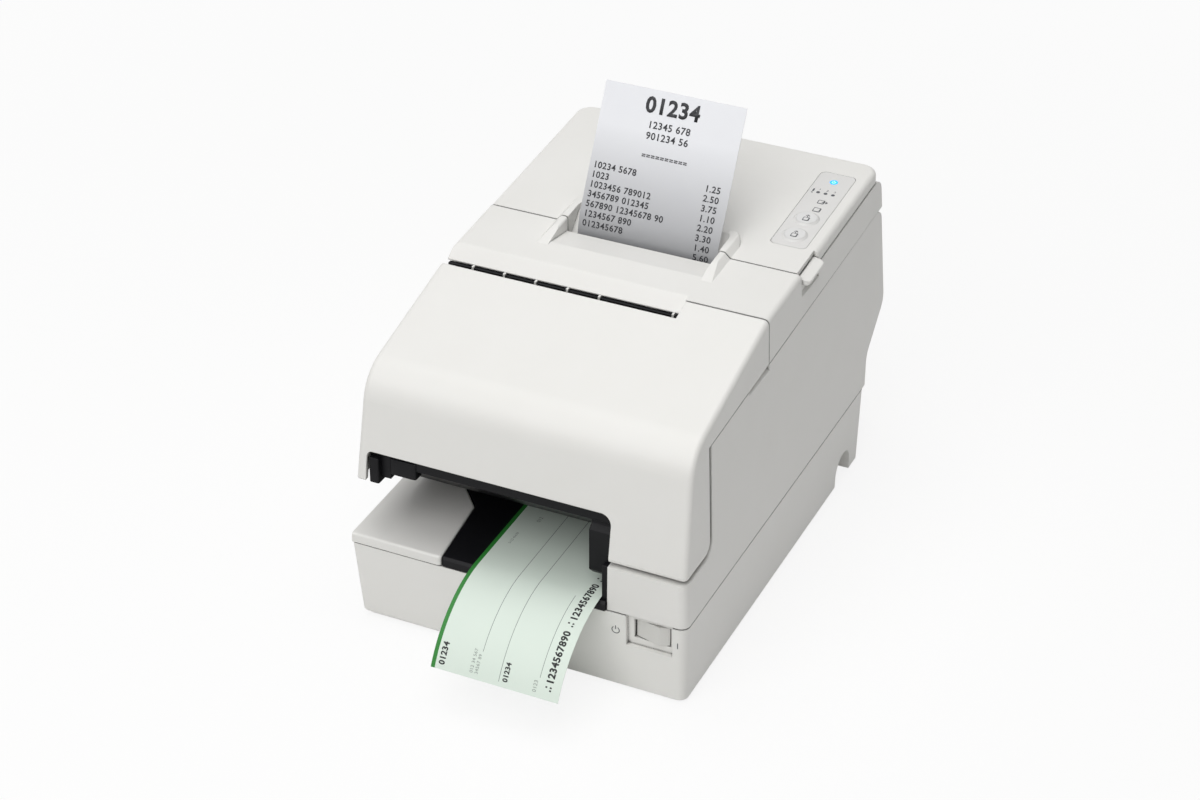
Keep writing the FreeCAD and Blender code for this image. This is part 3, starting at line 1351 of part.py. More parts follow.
# Roll cover: a shallow lid with a rimmed paper exit, hinged at the rear.
lid_front = cover_seam + dim.cover_gap
lid_rear = rear_at(top_at(ring_rear) - dim.lid_depth)
lid_block = side("lid_block", [
    (lid_front, top_at(lid_front) - dim.lid_depth),
    (lid_rear, top_at(lid_rear) - dim.lid_depth, dim.lid_heel),
    (lid_rear, top_at(lid_rear)),
    (lid_front, top_at(lid_front)),
], -far, far)
lid_side = side_at(top_at(lid_rear))
lid_plan = plan("lid_plan", [
    (-lid_side, lid_front),
    (lid_side, lid_front),
    (lid_side, lid_rear, dim.lid_corner),
    (-lid_side, lid_rear, dim.lid_corner),
], dim.side_seam, lean_height)


def lid_edge(edge):
    """True for the edges round the top of the roll cover, apart from its front edge."""
    middle = edge.valueAt((edge.FirstParameter + edge.LastParameter) / 2)
    depth = middle.y - front.value
    return abs(middle.z - top_at(depth).value) < 0.1 and depth > lid_front.value + 0.1


lid_soft = rounded("lid_soft", common("lid_solid", lid_block, lid_plan), dim.edge_round, lid_edge)
lid_inside = common("lid_inside", side("lid_space_cut", [
    (lid_front + dim.wall, dim.side_seam),
    (lid_rear - dim.wall, dim.side_seam),
    (lid_rear - dim.wall, top_at(lid_rear) - dim.wall, dim.lid_inner_round),
    (lid_front + dim.wall, lean_height),
], -far, far), lid_room)
rim_back = exit_back + dim.rim_wide
rim_plan = plan("rim_plan", [
    (-rim_half, lid_front),
    (rim_half, lid_front),
    (rim_half, rim_back, dim.exit_round + dim.rim_wide),
    (-rim_half, rim_back, dim.exit_round + dim.rim_wide),
], dim.side_seam, lean_height)
rim_rear = side("rim_rear", [
    (lid_front, top_at(lid_front) - dim.wall),
    (rim_back, top_at(rim_back) - dim.wall),
    (rim_back, top_at(rim_back)),
    (exit_back + dim.rim_crown, top_at(exit_back + dim.rim_crown) + dim.rim_rise, dim.rim_soft),
    (lid_front, top_at(lid_front) + dim.rim_rise),
], -rim_half, rim_half)
rim_bank = sloping("rim_bank", [
    (-rim_half, -dim.wall / 2),
    (rim_half, -dim.wall / 2),
    (rim_half, 0),
    (rim_flat, dim.rim_rise, dim.rim_soft),
    (-rim_flat, dim.rim_rise, dim.rim_soft),
    (-rim_half, 0),
], lid_front, rim_back)
rim_block = common("rim_block", common("rim_top", rim_bank, rim_rear), rim_plan)
well_half = dim.exit_half + dim.wall
well_top = top_at(exit_back)
well_height = dim.platen_height + dim.platen_radius + dim.well_over
well_block = side("well_block", [
    (lid_front, well_height - dim.seam),
    (well_front + dim.wall, well_height - dim.seam),
    (exit_back + dim.wall, well_top - dim.wall / 2),
    (exit_back + dim.wall, well_top - dim.seam / 2),
    (lid_front, top_at(lid_front) - dim.seam / 2),
], -well_half, well_half)
exit_plan = plan("exit_plan", [
    (-dim.exit_half, lid_front - dim.wall),
    (dim.exit_half, lid_front - dim.wall),
    (dim.exit_half, exit_back + dim.wall, dim.exit_round),
    (-dim.exit_half, exit_back + dim.wall, dim.exit_round),
], dim.side_seam, lean_height)
exit_cut = common("exit_cut", side("exit_space", [
    (lid_front - dim.wall, dim.side_seam),
    (well_front, dim.side_seam),
    (well_front, well_height),
    (exit_back, well_top + dim.rim_rise),
    (exit_back, lean_height),
    (lid_front - dim.wall, lean_height),
], -dim.exit_half, dim.exit_half), exit_plan)
panel_gap = dim.seam / 3


def panel_form(name, grow, low, high):
    """The operation panel's outline, grown by a gap, between two heights from the top."""
    outline = plan(name + "_plan", [
        (panel_left - grow, panel_front - grow, dim.panel_round),
        (panel_right + grow, panel_front - grow, dim.panel_round),
        (panel_right + grow, dim.panel_back + grow, dim.panel_round),
        (panel_left - grow, dim.panel_back + grow, dim.panel_round),
    ], dim.side_seam, lean_height)
    strip = sloping(name + "_strip", [
        (panel_left - dim.wall, low),
        (panel_right + dim.wall, low),
        (panel_right + dim.wall, high),
        (panel_left - dim.wall, high),
    ], panel_front - dim.wall, dim.panel_back + dim.wall)
    return common(name, outline, strip)


def pillar(name, x, depth, radius, low, high):
    """An upright round bar between two heights counted from the sloping top."""
    bar = rod(name + "_bar", "z", dim.side_seam, lean_height, (x, deep(depth)), radius)
    slab = sloping(name + "_slab", [
        (x - radius - dim.wall, low),
        (x + radius + dim.wall, low),
        (x + radius + dim.wall, high),
        (x - radius - dim.wall, high),
    ], depth - radius - dim.wall, depth + radius + dim.wall)
    return common(name, bar, slab)


dot_places = [button_line + dim.dot_pitch * number for number in (-1, 0, 1)]
board_top = -dim.board_drop
panel_pocket = panel_form("panel_pocket", panel_gap, -dim.panel_thick, dim.wall * 2)
panel_holes = []
for depth in (receipt_button, slip_button):
    panel_holes.append(rod("button_hole", "z", dim.side_seam, lean_height,
                           (button_line, deep(depth)), dim.button_radius + dim.button_gap))
panel_holes.append(rod("lamp_hole", "z", dim.side_seam, lean_height,
                       (button_line, deep(lamp_depth)), dim.lamp_radius))
for place in dot_places:
    panel_holes.append(rod("dot_hole", "z", dim.side_seam, lean_height,
                           (place, deep(dot_depth)), dim.dot_radius))
lever_space = box(
    "lever_space",
    (lever_in - dim.seam, far),
    (deep(lid_front - dim.wall), deep(lever_back + dim.seam)),
    (dim.side_seam, lean_height),
)
lever_axis = lever_back - dim.lever_pivot
lever_low = -dim.lid_depth
lever_axis_height = top_at(lever_axis) - (dim.lever_sink + dim.lid_depth) / 2
lever_centre = (deep(lever_axis), lever_axis_height)
hook_room = side("hook_room", [
    (lid_front - dim.wall, dim.side_seam),
    (lever_axis, dim.side_seam),
    (lever_axis, top_at(lever_axis) - dim.wall),
    (lid_front - dim.wall, top_at(lid_front - dim.wall) - dim.wall),
], hook_in - dim.seam, lever_in)
bearing_in = hook_in - dim.seam - dim.lever_boss
bearing_half = dim.lever_pin * 2 + dim.seam
lever_bearing = sloping("lever_bearing", [
    (bearing_in, lever_low),
    (hook_in - dim.seam, lever_low),
    (hook_in - dim.seam, -dim.wall / 2),
    (bearing_in, -dim.wall / 2),
], lever_axis - bearing_half, lever_axis + bearing_half)
bearing_bore = rod("bearing_bore", "x", bearing_in - dim.wall, lever_in, lever_centre,
                   dim.lever_pin + dim.running)
lid_shell = cut("lid_shell", lid_soft, lid_inside)
lid_rimmed = fuse("lid_rimmed", lid_shell, rim_block, well_block)
lid_open = cut("lid_open", lid_rimmed, together("lid_cuts", exit_cut, lever_space, hook_room, panel_pocket),
               together("panel_bores", *panel_holes))
lid_fitted = fuse("lid_fitted", lid_open, together("lid_fittings", lever_bearing, *lid_ears))
piece("roll_cover", cut("roll_cover", lid_fitted, bearing_bore))

# Cover lever with its latch hook.
lever_bar = sloping("lever_bar", [
    (lever_in, lever_low),
    (lever_out - dim.lever_drop, lever_low),
    (lever_out, -dim.lever_sink - dim.lever_drop * 2, dim.lever_lip),
    (lever_out, -dim.lever_sink - dim.lever_drop, dim.lever_lip),
    (lever_in, -dim.lever_sink),
], lever_front, lever_back)
lever_tab = common("lever_tab", lever_bar, plan("lever_plan", [
    (lever_in, lever_front),
    (lever_out, lever_front, dim.lever_round),
    (lever_out, lever_back, dim.lever_round),
    (lever_in, lever_back),
], dim.side_seam, lean_height))
hook_front = lever_front + dim.hook_set
hook_back = catch_depth - dim.catch_gap
arm_end = lever_axis + dim.lever_pin
lever_arm = side("lever_arm", [
    (hook_front, top_at(hook_front) - dim.lid_depth),
    (arm_end, top_at(arm_end) - dim.lid_depth),
    (arm_end, top_at(arm_end) - dim.lever_sink),
    (lever_axis, top_at(lever_axis) - dim.lever_sink),
    (hook_front, top_at(hook_front) - dim.arm_head),
], hook_in, lever_in + dim.seam)
lever_hook = side("lever_hook", [
    (hook_front, hook_low),
    (hook_back, hook_low),
    (hook_back, hook_low + dim.hook_nose),
    (hook_back - dim.hook_reach, hook_low + dim.hook_nose),
    (hook_back - dim.hook_reach, top_at(hook_front) - dim.arm_head),
    (hook_front, top_at(hook_front) - dim.arm_head),
], hook_in, lever_in)
lever_axle = rod("lever_axle", "x", bearing_in, lever_in + dim.wall, lever_centre, dim.lever_pin)
piece("cover_lever", fuse("cover_lever", lever_tab, lever_arm, lever_hook, lever_axle))

# Operation panel with its buttons, lamps and board.
panel_plate = panel_form("panel_plate", 0, -dim.panel_thick, 0)
piece("operation_panel", cut("operation_panel", panel_plate, *panel_holes))
for label, depth in (("receipt_feed_button", receipt_button), ("slip_feed_button", slip_button)):
    cap = pillar(label + "_cap", button_line, depth, dim.button_radius,
                 board_top + dim.button_travel + dim.seam / 2, dim.button_rise)
    piece(label, cap)
lamps = [pillar("power_lamp", button_line, lamp_depth, dim.lamp_radius, board_top, dim.lamp_proud)]
for place in dot_places:
    lamps.append(pillar("status_lamp", place, dot_depth, dim.dot_radius, board_top, dim.lamp_proud))
piece("panel_lamps", together("panel_lamps", *lamps))
piece("panel_board", sloping("panel_board", [
    (panel_left + dim.seam, board_top - dim.board_thick),
    (panel_right - dim.seam, board_top - dim.board_thick),
    (panel_right - dim.seam, board_top),
    (panel_left + dim.seam, board_top),
], panel_front + dim.wall, dim.panel_back - dim.wall))

# Frame: a floor with two side plates, a cross wall and a shelf for the print head.
head_face = platen_depth - dim.platen_radius - dim.nip_gap
shelf_top = dim.head_low - dim.sink_margin
plate_out = dim.frame_half + dim.sheet
pitch_platen = dim.platen_teeth * dim.tooth_module / 2
pitch_idler = dim.idler_teeth * dim.tooth_module / 2
idler_height = dim.platen_height - pitch_platen - pitch_idler
idler_centre = (deep(platen_depth), idler_height)
train_reach = pitch_idler + pinion_radius
pinion_drop = math.sqrt(train_reach.value ** 2 - dim.idler_lag.value ** 2)
drop_text = "sqrt(%s ^ 2 - %s ^ 2)" % (train_reach.text, dim.idler_lag.text)
pinion_height = idler_height - Size(pinion_drop, drop_text)
pinion_depth = platen_depth - dim.idler_lag
pinion_centre = (deep(pinion_depth), pinion_height)
frame_floor = box(
    "frame_floor",
    (-frame_reach, frame_reach),
    (deep(dim.frame_front), deep(dim.bulkhead)),
    (dim.base_seam, dim.base_seam + dim.sheet),
)
frame_tail = box(
    "frame_tail",
    (-plate_out, plate_out),
    (deep(dim.bulkhead - dim.sheet), deep(dim.frame_back)),
    (dim.base_seam, dim.base_seam + dim.sheet),
)
frame_plates = together("frame_plates", *[side("frame_plate", [
    (dim.frame_front, dim.base_seam),
    (dim.frame_back, dim.base_seam),
    (dim.frame_back, dim.heel_height, dim.sheet * 4),
    (roll_depth, dim.roll_height, dim.sheet * 6),
    (platen_depth + dim.sheet * 8, idler_height, dim.sheet * 6),
    (cutter_back, dim.cutter_height),
    (cutter_front, dim.cutter_height),
    (dim.frame_front, dim.roll_height, dim.sheet * 6),
], low, high) for low, high in ((dim.frame_half, plate_out), (-plate_out, -dim.frame_half))])
frame_cross = box(
    "frame_cross",
    (-dim.frame_half, dim.frame_half),
    (deep(cross_wall), deep(cross_wall + dim.sheet)),
    (dim.base_seam, dim.cutter_height - dim.sheet),
)
frame_shelf = box(
    "frame_shelf",
    (-dim.head_half - dim.sink_margin * 2, dim.head_half + dim.sink_margin * 2),
    (deep(cross_wall), deep(head_face - dim.sheet * 2)),
    (shelf_top - dim.sheet, shelf_top),
)
idler_stud = rod("idler_stud", "x", dim.gear_left, dim.frame_half + dim.sheet, idler_centre, dim.stud_radius)
motor_seat = rod("motor_seat", "x", dim.frame_half - dim.sheet, plate_out + dim.sheet,
                 pinion_centre, dim.motor_boss)
frame_body = fuse("frame_body", frame_floor, frame_tail, frame_plates, frame_cross, frame_shelf, idler_stud)
piece("main_frame", cut("main_frame", frame_body, motor_seat))

# Roll holder, paper roll and its core.
roll_centre = (deep(roll_depth), dim.roll_height)
holder_out = dim.holder_half + dim.holder_wall
holder_drum = rod("holder_drum", "x", -holder_out, holder_out, roll_centre, dim.trough + dim.holder_wall)
holder_legs = together("holder_legs", *[box(
    "holder_leg",
    (x - dim.holder_wall, x + dim.holder_wall),
    (deep(roll_depth - dim.trough / 2), deep(roll_depth + dim.trough / 2)),
    (dim.base_seam + dim.sheet, dim.roll_height - dim.trough * 0.9),
) for x in (-dim.holder_half / 2, dim.holder_half / 2)])
holder_room = rod("holder_room", "x", -dim.holder_half, dim.holder_half, roll_centre, dim.trough)
holder_mouth = box(
    "holder_mouth",
    (-far, far),
    (deep(roll_depth - dim.trough * 2), deep(roll_depth + dim.trough * 2)),
    (dim.holder_top, lean_height),
)
piece("roll_holder", cut("roll_holder", fuse("holder_body", holder_drum, holder_legs),
                         holder_room, holder_mouth))
roll_drop = dim.trough - dim.roll_radius - dim.roll_gap
spin_centre = (deep(roll_depth), dim.roll_height - roll_drop)
half_paper = dim.paper_width / 2
piece("paper_roll", cut(
    "paper_roll",
    rod("roll_bulk", "x", -half_paper, half_paper, spin_centre, dim.roll_radius),
    rod("roll_bore", "x", -far, far, spin_centre, dim.core_radius),
))
piece("paper_core", cut(
    "paper_core",
    rod("core_bulk", "x", -half_paper, half_paper, spin_centre, dim.core_radius),
    rod("core_bore", "x", -far, far, spin_centre, dim.core_hole),
))

# Print head: a ceramic plate on a finned heat sink that two springs press forward.
head_back = head_face - dim.head_plate
piece("thermal_head", box(
    "thermal_head",
    (-dim.head_half, dim.head_half),
    (deep(head_back), deep(head_face)),
    (dim.head_low, dim.head_high),
))
sink_front = head_back - dim.sink_depth
sink_block = box(
    "sink_block",
    (-dim.head_half - dim.sink_margin, dim.head_half + dim.sink_margin),
    (deep(sink_front), deep(head_back)),
    (shelf_top, dim.head_high + dim.sink_margin),
)
fin_first = -dim.fin_pitch * (dim.fin_count - 1) / 2
fins = []
for number in range(int(dim.fin_count.value)):
    fin_place = fin_first + dim.fin_pitch * number
    if abs(abs(fin_place.value) - dim.spring_place.value) > dim.spring_radius.value * 2:
        fins.append(box(
            "fin",
            (fin_place - dim.fin_gap / 2, fin_place + dim.fin_gap / 2),
            (deep(sink_front - dim.wall), deep(sink_front + dim.fin_depth)),
            (shelf_top - dim.wall, dim.head_high + dim.wall),
        ))
piece("head_heat_sink", cut("head_heat_sink", sink_block, *fins))
spring_low = cross_wall + dim.sheet
spring_long = sink_front - spring_low
spring_height = (dim.head_low + dim.head_high) / 2


def bend(start, heading, end):
    """An arc from a point along a heading to an end point."""
    chord = end - start
    half = heading.getAngle(chord)
    aside = heading - chord * (heading.dot(chord) / chord.dot(chord))
    aside.normalize()
    crown = (start + end) * 0.5 + aside * (chord.Length / 2 * math.tan(half / 2))
    return Part.Arc(start, crown, end).toShape()


def coil(name, x):
    """A round wire spring along the depth at a given x, each half turn a pair of tangent arcs."""
    reach = spring_long.value - 2 * dim.spring_wire.value
    turn = 2 * math.pi * dim.spring_turns.value
    radius = dim.spring_radius.value

    def spot(angle):
        """The wire's centre and heading at an angle of the winding."""
        place = FreeCAD.Vector(radius * math.cos(angle), radius * math.sin(angle), reach * angle / turn)
        heading = FreeCAD.Vector(-radius * math.sin(angle), radius * math.cos(angle), reach / turn)
        return place, heading.normalize()

    steps = int(round(dim.spring_turns.value * 2))
    edges = []
    for number in range(steps):
        low, out = spot(turn * number / steps)
        high, into = spot(turn * (number + 1) / steps)
        gap = high - low
        lead = out + into
        spare = 2 * (1 - out.dot(into))
        reach_out = (math.sqrt(gap.dot(lead) ** 2 + spare * gap.dot(gap)) - gap.dot(lead)) / spare
        middle = (low + high + (out - into) * reach_out) * 0.5
        edges.append(bend(low, out, middle))
        turned = bend(high, into * -1, middle)
        edges.append(turned)
    place, heading = spot(0)
    ring = Part.Wire(Part.makeCircle(dim.spring_wire.value, place, heading))
    item = doc.addObject("Part::Feature", name)
    item.Shape = Part.Wire(edges).makePipeShell([ring], True, False)
    item.Placement = FreeCAD.Placement(
        FreeCAD.Vector(x.value, deep(spring_low + dim.spring_wire).value, spring_height.value), TURNS["y"])
    return item


piece("head_springs", together("head_springs", coil("spring_right", dim.spring_place),
                               coil("spring_left", -dim.spring_place)))

# Cutter: a guided blade that slides back under a fixed blade on the roll cover.
blade_low = dim.cutter_height + dim.cutter_bed + dim.blade_gap
blade_high = blade_low + dim.blade_thick
cutter_plate = box(
    "cutter_plate",
    (-plate_out, plate_out),
    (deep(cutter_front), deep(cutter_back)),
    (dim.cutter_height, dim.cutter_height + dim.cutter_bed),
)
blade_rail = dim.blade_half + dim.blade_gap
cutter_rails = together("cutter_rails", *[box(
    "cutter_rail",
    bounds,
    (deep(cutter_front), deep(cutter_back)),
    (dim.cutter_height + dim.cutter_bed / 2, blade_high),
) for bounds in ((blade_rail, plate_out), (-plate_out, -blade_rail))])
piece("cutter_frame", fuse("cutter_frame", cutter_plate, cutter_rails))
piece("cutter_blade", plan("cutter_blade", [
    (-dim.blade_half, blade_front),
    (dim.blade_half, blade_front),
    (dim.blade_half, blade_edge),
    (0, blade_edge - dim.blade_vee),
    (-dim.blade_half, blade_edge),
], blade_low, blade_high))
fixed_low = blade_high + dim.blade_gap
piece("fixed_blade", box(
    "fixed_blade",
    (-dim.cheek_in, dim.cheek_in),
    (deep(fixed_front), deep(fixed_front + dim.fixed_depth)),
    (fixed_low, fixed_low + dim.blade_thick),
))

# Platen on the roll cover: bracket, bushes, shaft, rubber and gear.
platen_centre = (deep(platen_depth), dim.platen_height)
cheek_out = dim.cheek_in + dim.sheet
bracket_front = platen_depth - dim.bush_radius - dim.seam
bracket_back = platen_depth + dim.bush_radius * 4
bracket_foot = dim.platen_height - dim.bush_radius - dim.seam * 2
bracket_cheeks = together("bracket_cheeks", *[side("bracket_cheek", [
    (bracket_front, bracket_foot, dim.sheet),
    (platen_depth + dim.bush_radius, bracket_foot, dim.sheet),
    (bracket_back, fixed_low),
    (bracket_back, top_at(bracket_back) - dim.wall),
    (lid_front + dim.wall + dim.seam, top_at(lid_front + dim.wall + dim.seam) - dim.wall),
    (lid_front + dim.wall + dim.seam, fixed_low),
    (bracket_front, fixed_low - dim.wall),
], low, high) for low, high in ((dim.cheek_in, cheek_out), (-cheek_out, -dim.cheek_in))])
bracket_bar = box(
    "bracket_bar",
    (-dim.cheek_in - dim.sheet / 2, dim.cheek_in + dim.sheet / 2),
    (deep(platen_depth + dim.platen_radius + dim.wall), deep(bracket_back - dim.wall)),
    (fixed_low - dim.wall - dim.sheet, fixed_low - dim.wall),
)
bush_holes = rod("bush_holes", "x", -far, far, platen_centre, dim.bush_radius)
piece("platen_bracket", cut("platen_bracket", fuse("bracket_body", bracket_bar, bracket_cheeks), bush_holes))
bushes = []
for low, high in ((dim.cheek_in - dim.bush_length / 4, cheek_out + dim.bush_length / 4),
                  (-cheek_out - dim.bush_length / 4, -dim.cheek_in + dim.bush_length / 4)):
    bush = rod("bush_bulk", "x", low, high, platen_centre, dim.bush_radius)
    bore = rod("bush_bore", "x", low - dim.wall, high + dim.wall, platen_centre,
               dim.shaft_radius + dim.running)
    bushes.append(cut("platen_bush", bush, bore))
piece("platen_bushes", together("platen_bushes", *bushes))
piece("platen_shaft", rod("platen_shaft", "x", -cheek_out - dim.bush_length, dim.gear_left + dim.gear_wide,
                          platen_centre, dim.shaft_radius))
piece("platen_rubber", cut(
    "platen_rubber",
    rod("rubber_bulk", "x", -dim.platen_half, dim.platen_half, platen_centre, dim.platen_radius),
    rod("rubber_bore", "x", -far, far, platen_centre, dim.shaft_radius),
))


def involute(radius, base):
    """The involute angle at a radius."""
    angle = math.acos(min(1.0, base / radius))
    return math.tan(angle) - angle


def toothed(name, teeth, low, wide, centre, phase, bore):
    """A spur gear about the x axis with one tooth centred on the phase angle."""
    count = int(round(teeth.value))
    module = dim.tooth_module.value
    pitch = count * module / 2
    base = pitch * math.cos(math.radians(20))
    tip = pitch + dim.addendum.value * module
    root = pitch - dim.dedendum.value * module
    half = math.pi / (2 * count) - dim.backlash.value / (2 * pitch) + involute(pitch, base)
    foot = max(base, root + 0.02)
    flank = [foot, (foot + pitch) / 2, pitch, (pitch + tip) / 2, tip]
    points = []
    for number in range(count):
        middle = math.radians(phase) + 2 * math.pi * number / count
        left = [(radius, middle - half + involute(radius, base)) for radius in flank]
        right = [(radius, middle + half - involute(radius, base)) for radius in reversed(flank)]
        edge = [(root, left[0][1])] + left + right + [(root, right[-1][1])]
        points += [FreeCAD.Vector(0, r * math.cos(a), r * math.sin(a)) for r, a in edge]
    face = Part.Face(Part.makePolygon(points + points[:1]))
    solid = face.extrude(FreeCAD.Vector(wide.value, 0, 0))
    if bore.value > 0:
        axis = Part.makeCylinder(bore.value, wide.value * 3, FreeCAD.Vector(-wide.value, 0, 0),
                                 FreeCAD.Vector(1, 0, 0))
        solid = solid.cut(axis)
    item = doc.addObject("Part::Feature", name)
    item.Shape = solid
    item.Placement.Base = FreeCAD.Vector(low.value, centre[0].value, centre[1].value)
    bind(item, "Placement.Base.x", low)
    bind(item, "Placement.Base.y", centre[0])
    bind(item, "Placement.Base.z", centre[1])
    return item


def meshed_phase(first_teeth, first_phase, bearing, second_teeth):
    """The phase of a gear that meshes with the first one along a bearing."""
    step = 360.0 / first_teeth.value
    offset = (bearing - first_phase) % step
    return bearing + 180 + offset * first_teeth.value / second_teeth.value + 180.0 / second_teeth.value


idler_phase = meshed_phase(dim.platen_teeth, -90.0, -90.0, dim.idler_teeth)
pinion_bearing = math.degrees(math.atan2(-pinion_drop, -dim.idler_lag.value))
pinion_phase = meshed_phase(dim.idler_teeth, idler_phase, pinion_bearing, dim.pinion_teeth)
piece("platen_gear", toothed("platen_gear", dim.platen_teeth, dim.gear_left, dim.gear_wide,
                             platen_centre, -90.0, dim.shaft_radius))
piece("feed_idler", toothed("feed_idler", dim.idler_teeth, dim.gear_left, dim.gear_wide,
                            idler_centre, idler_phase, dim.stud_radius + dim.running))
pinion_teeth = toothed("pinion_ring", dim.pinion_teeth, dim.gear_left, dim.gear_wide,
                       pinion_centre, pinion_phase, dim.motor_shaft / 2)
motor_core = plate_out + dim.motor_length / 2
pinion_stem = rod("pinion_stem", "x", dim.gear_left, motor_core, pinion_centre, dim.motor_shaft)
piece("feed_pinion", fuse("feed_pinion", pinion_teeth, pinion_stem))
motor_can = rod("motor_can", "x", plate_out, plate_out + dim.motor_length, pinion_centre, dim.motor_radius)
motor_nose = rod("motor_nose", "x", dim.frame_half, plate_out + dim.sheet, pinion_centre, dim.motor_boss)
motor_bore = rod("motor_bore", "x", dim.gear_left, motor_core + dim.running, pinion_centre,
                 dim.motor_shaft + dim.running)
piece("feed_motor", cut("feed_motor", fuse("motor_body", motor_can, motor_nose), motor_bore))

# Receipt strip: leaves the exit upright and leans back.
strip_back = well_front - dim.strip_gap
strip_front = strip_back - dim.paper_thick
strip_turn = dim.strip_start + (dim.strip_bend - dim.strip_start) * 2
piece("receipt_paper", side("receipt_paper", [
    (strip_front, dim.strip_start),
    (strip_back, dim.strip_start),
    (strip_back, strip_turn, dim.strip_lean - dim.paper_thick),
    (strip_back + dim.strip_lean, dim.strip_top - dim.paper_thick / 2),
    (strip_front + dim.strip_lean, dim.strip_top),
    (strip_front, strip_turn + dim.paper_thick / 2, dim.strip_lean),
], dim.strip_shift - half_paper, dim.strip_shift + half_paper))

# Slip form: flat on the table, hanging over its front edge.
form_low = dim.table_top + dim.form_lift
hang = dim.form_edge + dim.slip_reach
hang_turn = hang / 2 + dim.form_drop * dim.form_drop / (hang * 2)
hang_round = (hang * hang + dim.form_drop * dim.form_drop) / (dim.form_drop * 2) * dim.hang_share
form_tip = form_low - dim.form_drop
piece("slip_form", side("slip_form", [
    (dim.form_end, form_low),
    (dim.form_edge - hang_turn, form_low, hang_round),
    (dim.form_thick - dim.slip_reach, form_tip - dim.form_thick / 2),
    (-dim.slip_reach, form_tip),
    (dim.form_edge - hang_turn - dim.form_thick / 2, form_low + dim.form_thick, hang_round + dim.form_thick),
    (dim.form_end, form_low + dim.form_thick),
], dim.form_right - dim.form_width, dim.form_right))

# Slip feed: driven rollers under the form, pinch rollers above it.
feed_centre = (deep(dim.feed_depth), feed_height)
gear_end = dim.slip_gear_left + dim.slip_gear_wide
piece("slip_drive_shaft", rod("slip_drive_shaft", "x", dim.feed_left - dim.wall / 2, gear_end,
                              feed_centre, dim.feed_shaft))
drive_rollers = []
for left in roller_spots:
    bulk = rod("drive_bulk", "x", left, left + dim.feed_wide, feed_centre, dim.feed_radius)
    bore = rod("drive_bore", "x", left - dim.wall, left + dim.feed_wide + dim.wall, feed_centre,
               dim.feed_shaft)
    drive_rollers.append(cut("drive_roller", bulk, bore))
piece("slip_drive_rollers", together("slip_drive_rollers", *drive_rollers))
feed_bushes = []
for left in (dim.feed_left, dim.feed_right):
    bulk = rod("feed_bush_bulk", "x", left, left + dim.bearing_wide, feed_centre, dim.feed_bush)
    bore = rod("feed_bush_bore", "x", left - dim.wall, left + dim.bearing_wide + dim.wall, feed_centre,
               dim.feed_shaft + dim.running)
    feed_bushes.append(cut("feed_bush", bulk, bore))
piece("slip_shaft_bushes", together("slip_shaft_bushes", *feed_bushes))
slip_motor_centre = (deep(dim.feed_depth), slip_motor_height)
slip_phase = meshed_phase(dim.slip_teeth, -90.0, -90.0, dim.pinion_teeth)
piece("slip_drive_gear", toothed("slip_drive_gear", dim.slip_teeth, dim.slip_gear_left, dim.slip_gear_wide,
                                 feed_centre, -90.0, dim.feed_shaft))
slip_pinion = toothed("slip_pinion_ring", dim.pinion_teeth, dim.slip_gear_left, dim.slip_gear_wide,
                      slip_motor_centre, slip_phase, dim.motor_shaft / 2)
post_out = dim.slip_motor_wall + dim.bearing_wide
slip_core = post_out + dim.slip_motor_length / 2
slip_stem = rod("slip_stem", "x", dim.slip_gear_left, slip_core, slip_motor_centre, dim.motor_shaft)
piece("slip_motor_pinion", fuse("slip_motor_pinion", slip_pinion, slip_stem))
slip_can = rod("slip_can", "x", post_out, post_out + dim.slip_motor_length, slip_motor_centre,
               dim.slip_motor_radius)
slip_nose = rod("slip_nose", "x", dim.slip_motor_wall, post_out + dim.wall, slip_motor_centre, dim.motor_boss)
slip_bore = rod("slip_bore", "x", dim.slip_gear_left, slip_core + dim.running, slip_motor_centre,
                dim.motor_shaft + dim.running)
piece("slip_motor", cut("slip_motor", fuse("slip_motor_body", slip_can, slip_nose), slip_bore))
pinch_height = form_low + dim.form_thick + dim.feed_gap + dim.pinch_radius
pinch_centre = (deep(dim.feed_depth), pinch_height)
lug_left = dim.feed_first - dim.feed_window - dim.wall
lug_right = dim.feed_first + dim.feed_pitch + dim.feed_wide + dim.feed_window
pinch_bar = rod("pinch_bar", "x", lug_left, lug_right + dim.wall, pinch_centre, dim.pinch_shaft)
piece("slip_pinch_rollers", fuse("slip_pinch_rollers", pinch_bar, *[
    rod("pinch_roller", "x", left, left + dim.feed_wide, pinch_centre, dim.pinch_radius)
    for left in roller_spots]))

# Upper slip guide: slopes in from the mouth, bends up behind the print head.
mouth_top = dim.notch_top - dim.seam / 2
mouth_low = mouth_top - dim.guide_face
path_front = dim.slot_wall - dim.path_gap
plate_top = dim.guide_level + dim.guide_thick
inner_bend = dim.guide_bend - dim.guide_thick
guide_plate = side("guide_plate", [
    (dim.guide_front, mouth_top),
    (dim.guide_front, mouth_low),
    (dim.guide_knee, dim.guide_low, dim.guide_bend),
    (path_front, dim.guide_level, dim.guide_bend),
    (path_front, dim.guide_top),
    (path_front - dim.guide_thick, dim.guide_top),
    (path_front - dim.guide_thick, plate_top, inner_bend),
    (dim.guide_knee + dim.guide_thick / 2, dim.guide_low + dim.guide_thick, inner_bend),
    (dim.guide_front + dim.guide_thick, mouth_low + dim.guide_thick),
    (dim.guide_front + dim.guide_thick, mouth_top),
], guide_left, dim.throat_right - dim.seam)
web_spots = (guide_left + dim.claw_wide * 2, dim.feed_left, dim.feed_right - dim.claw_wide)
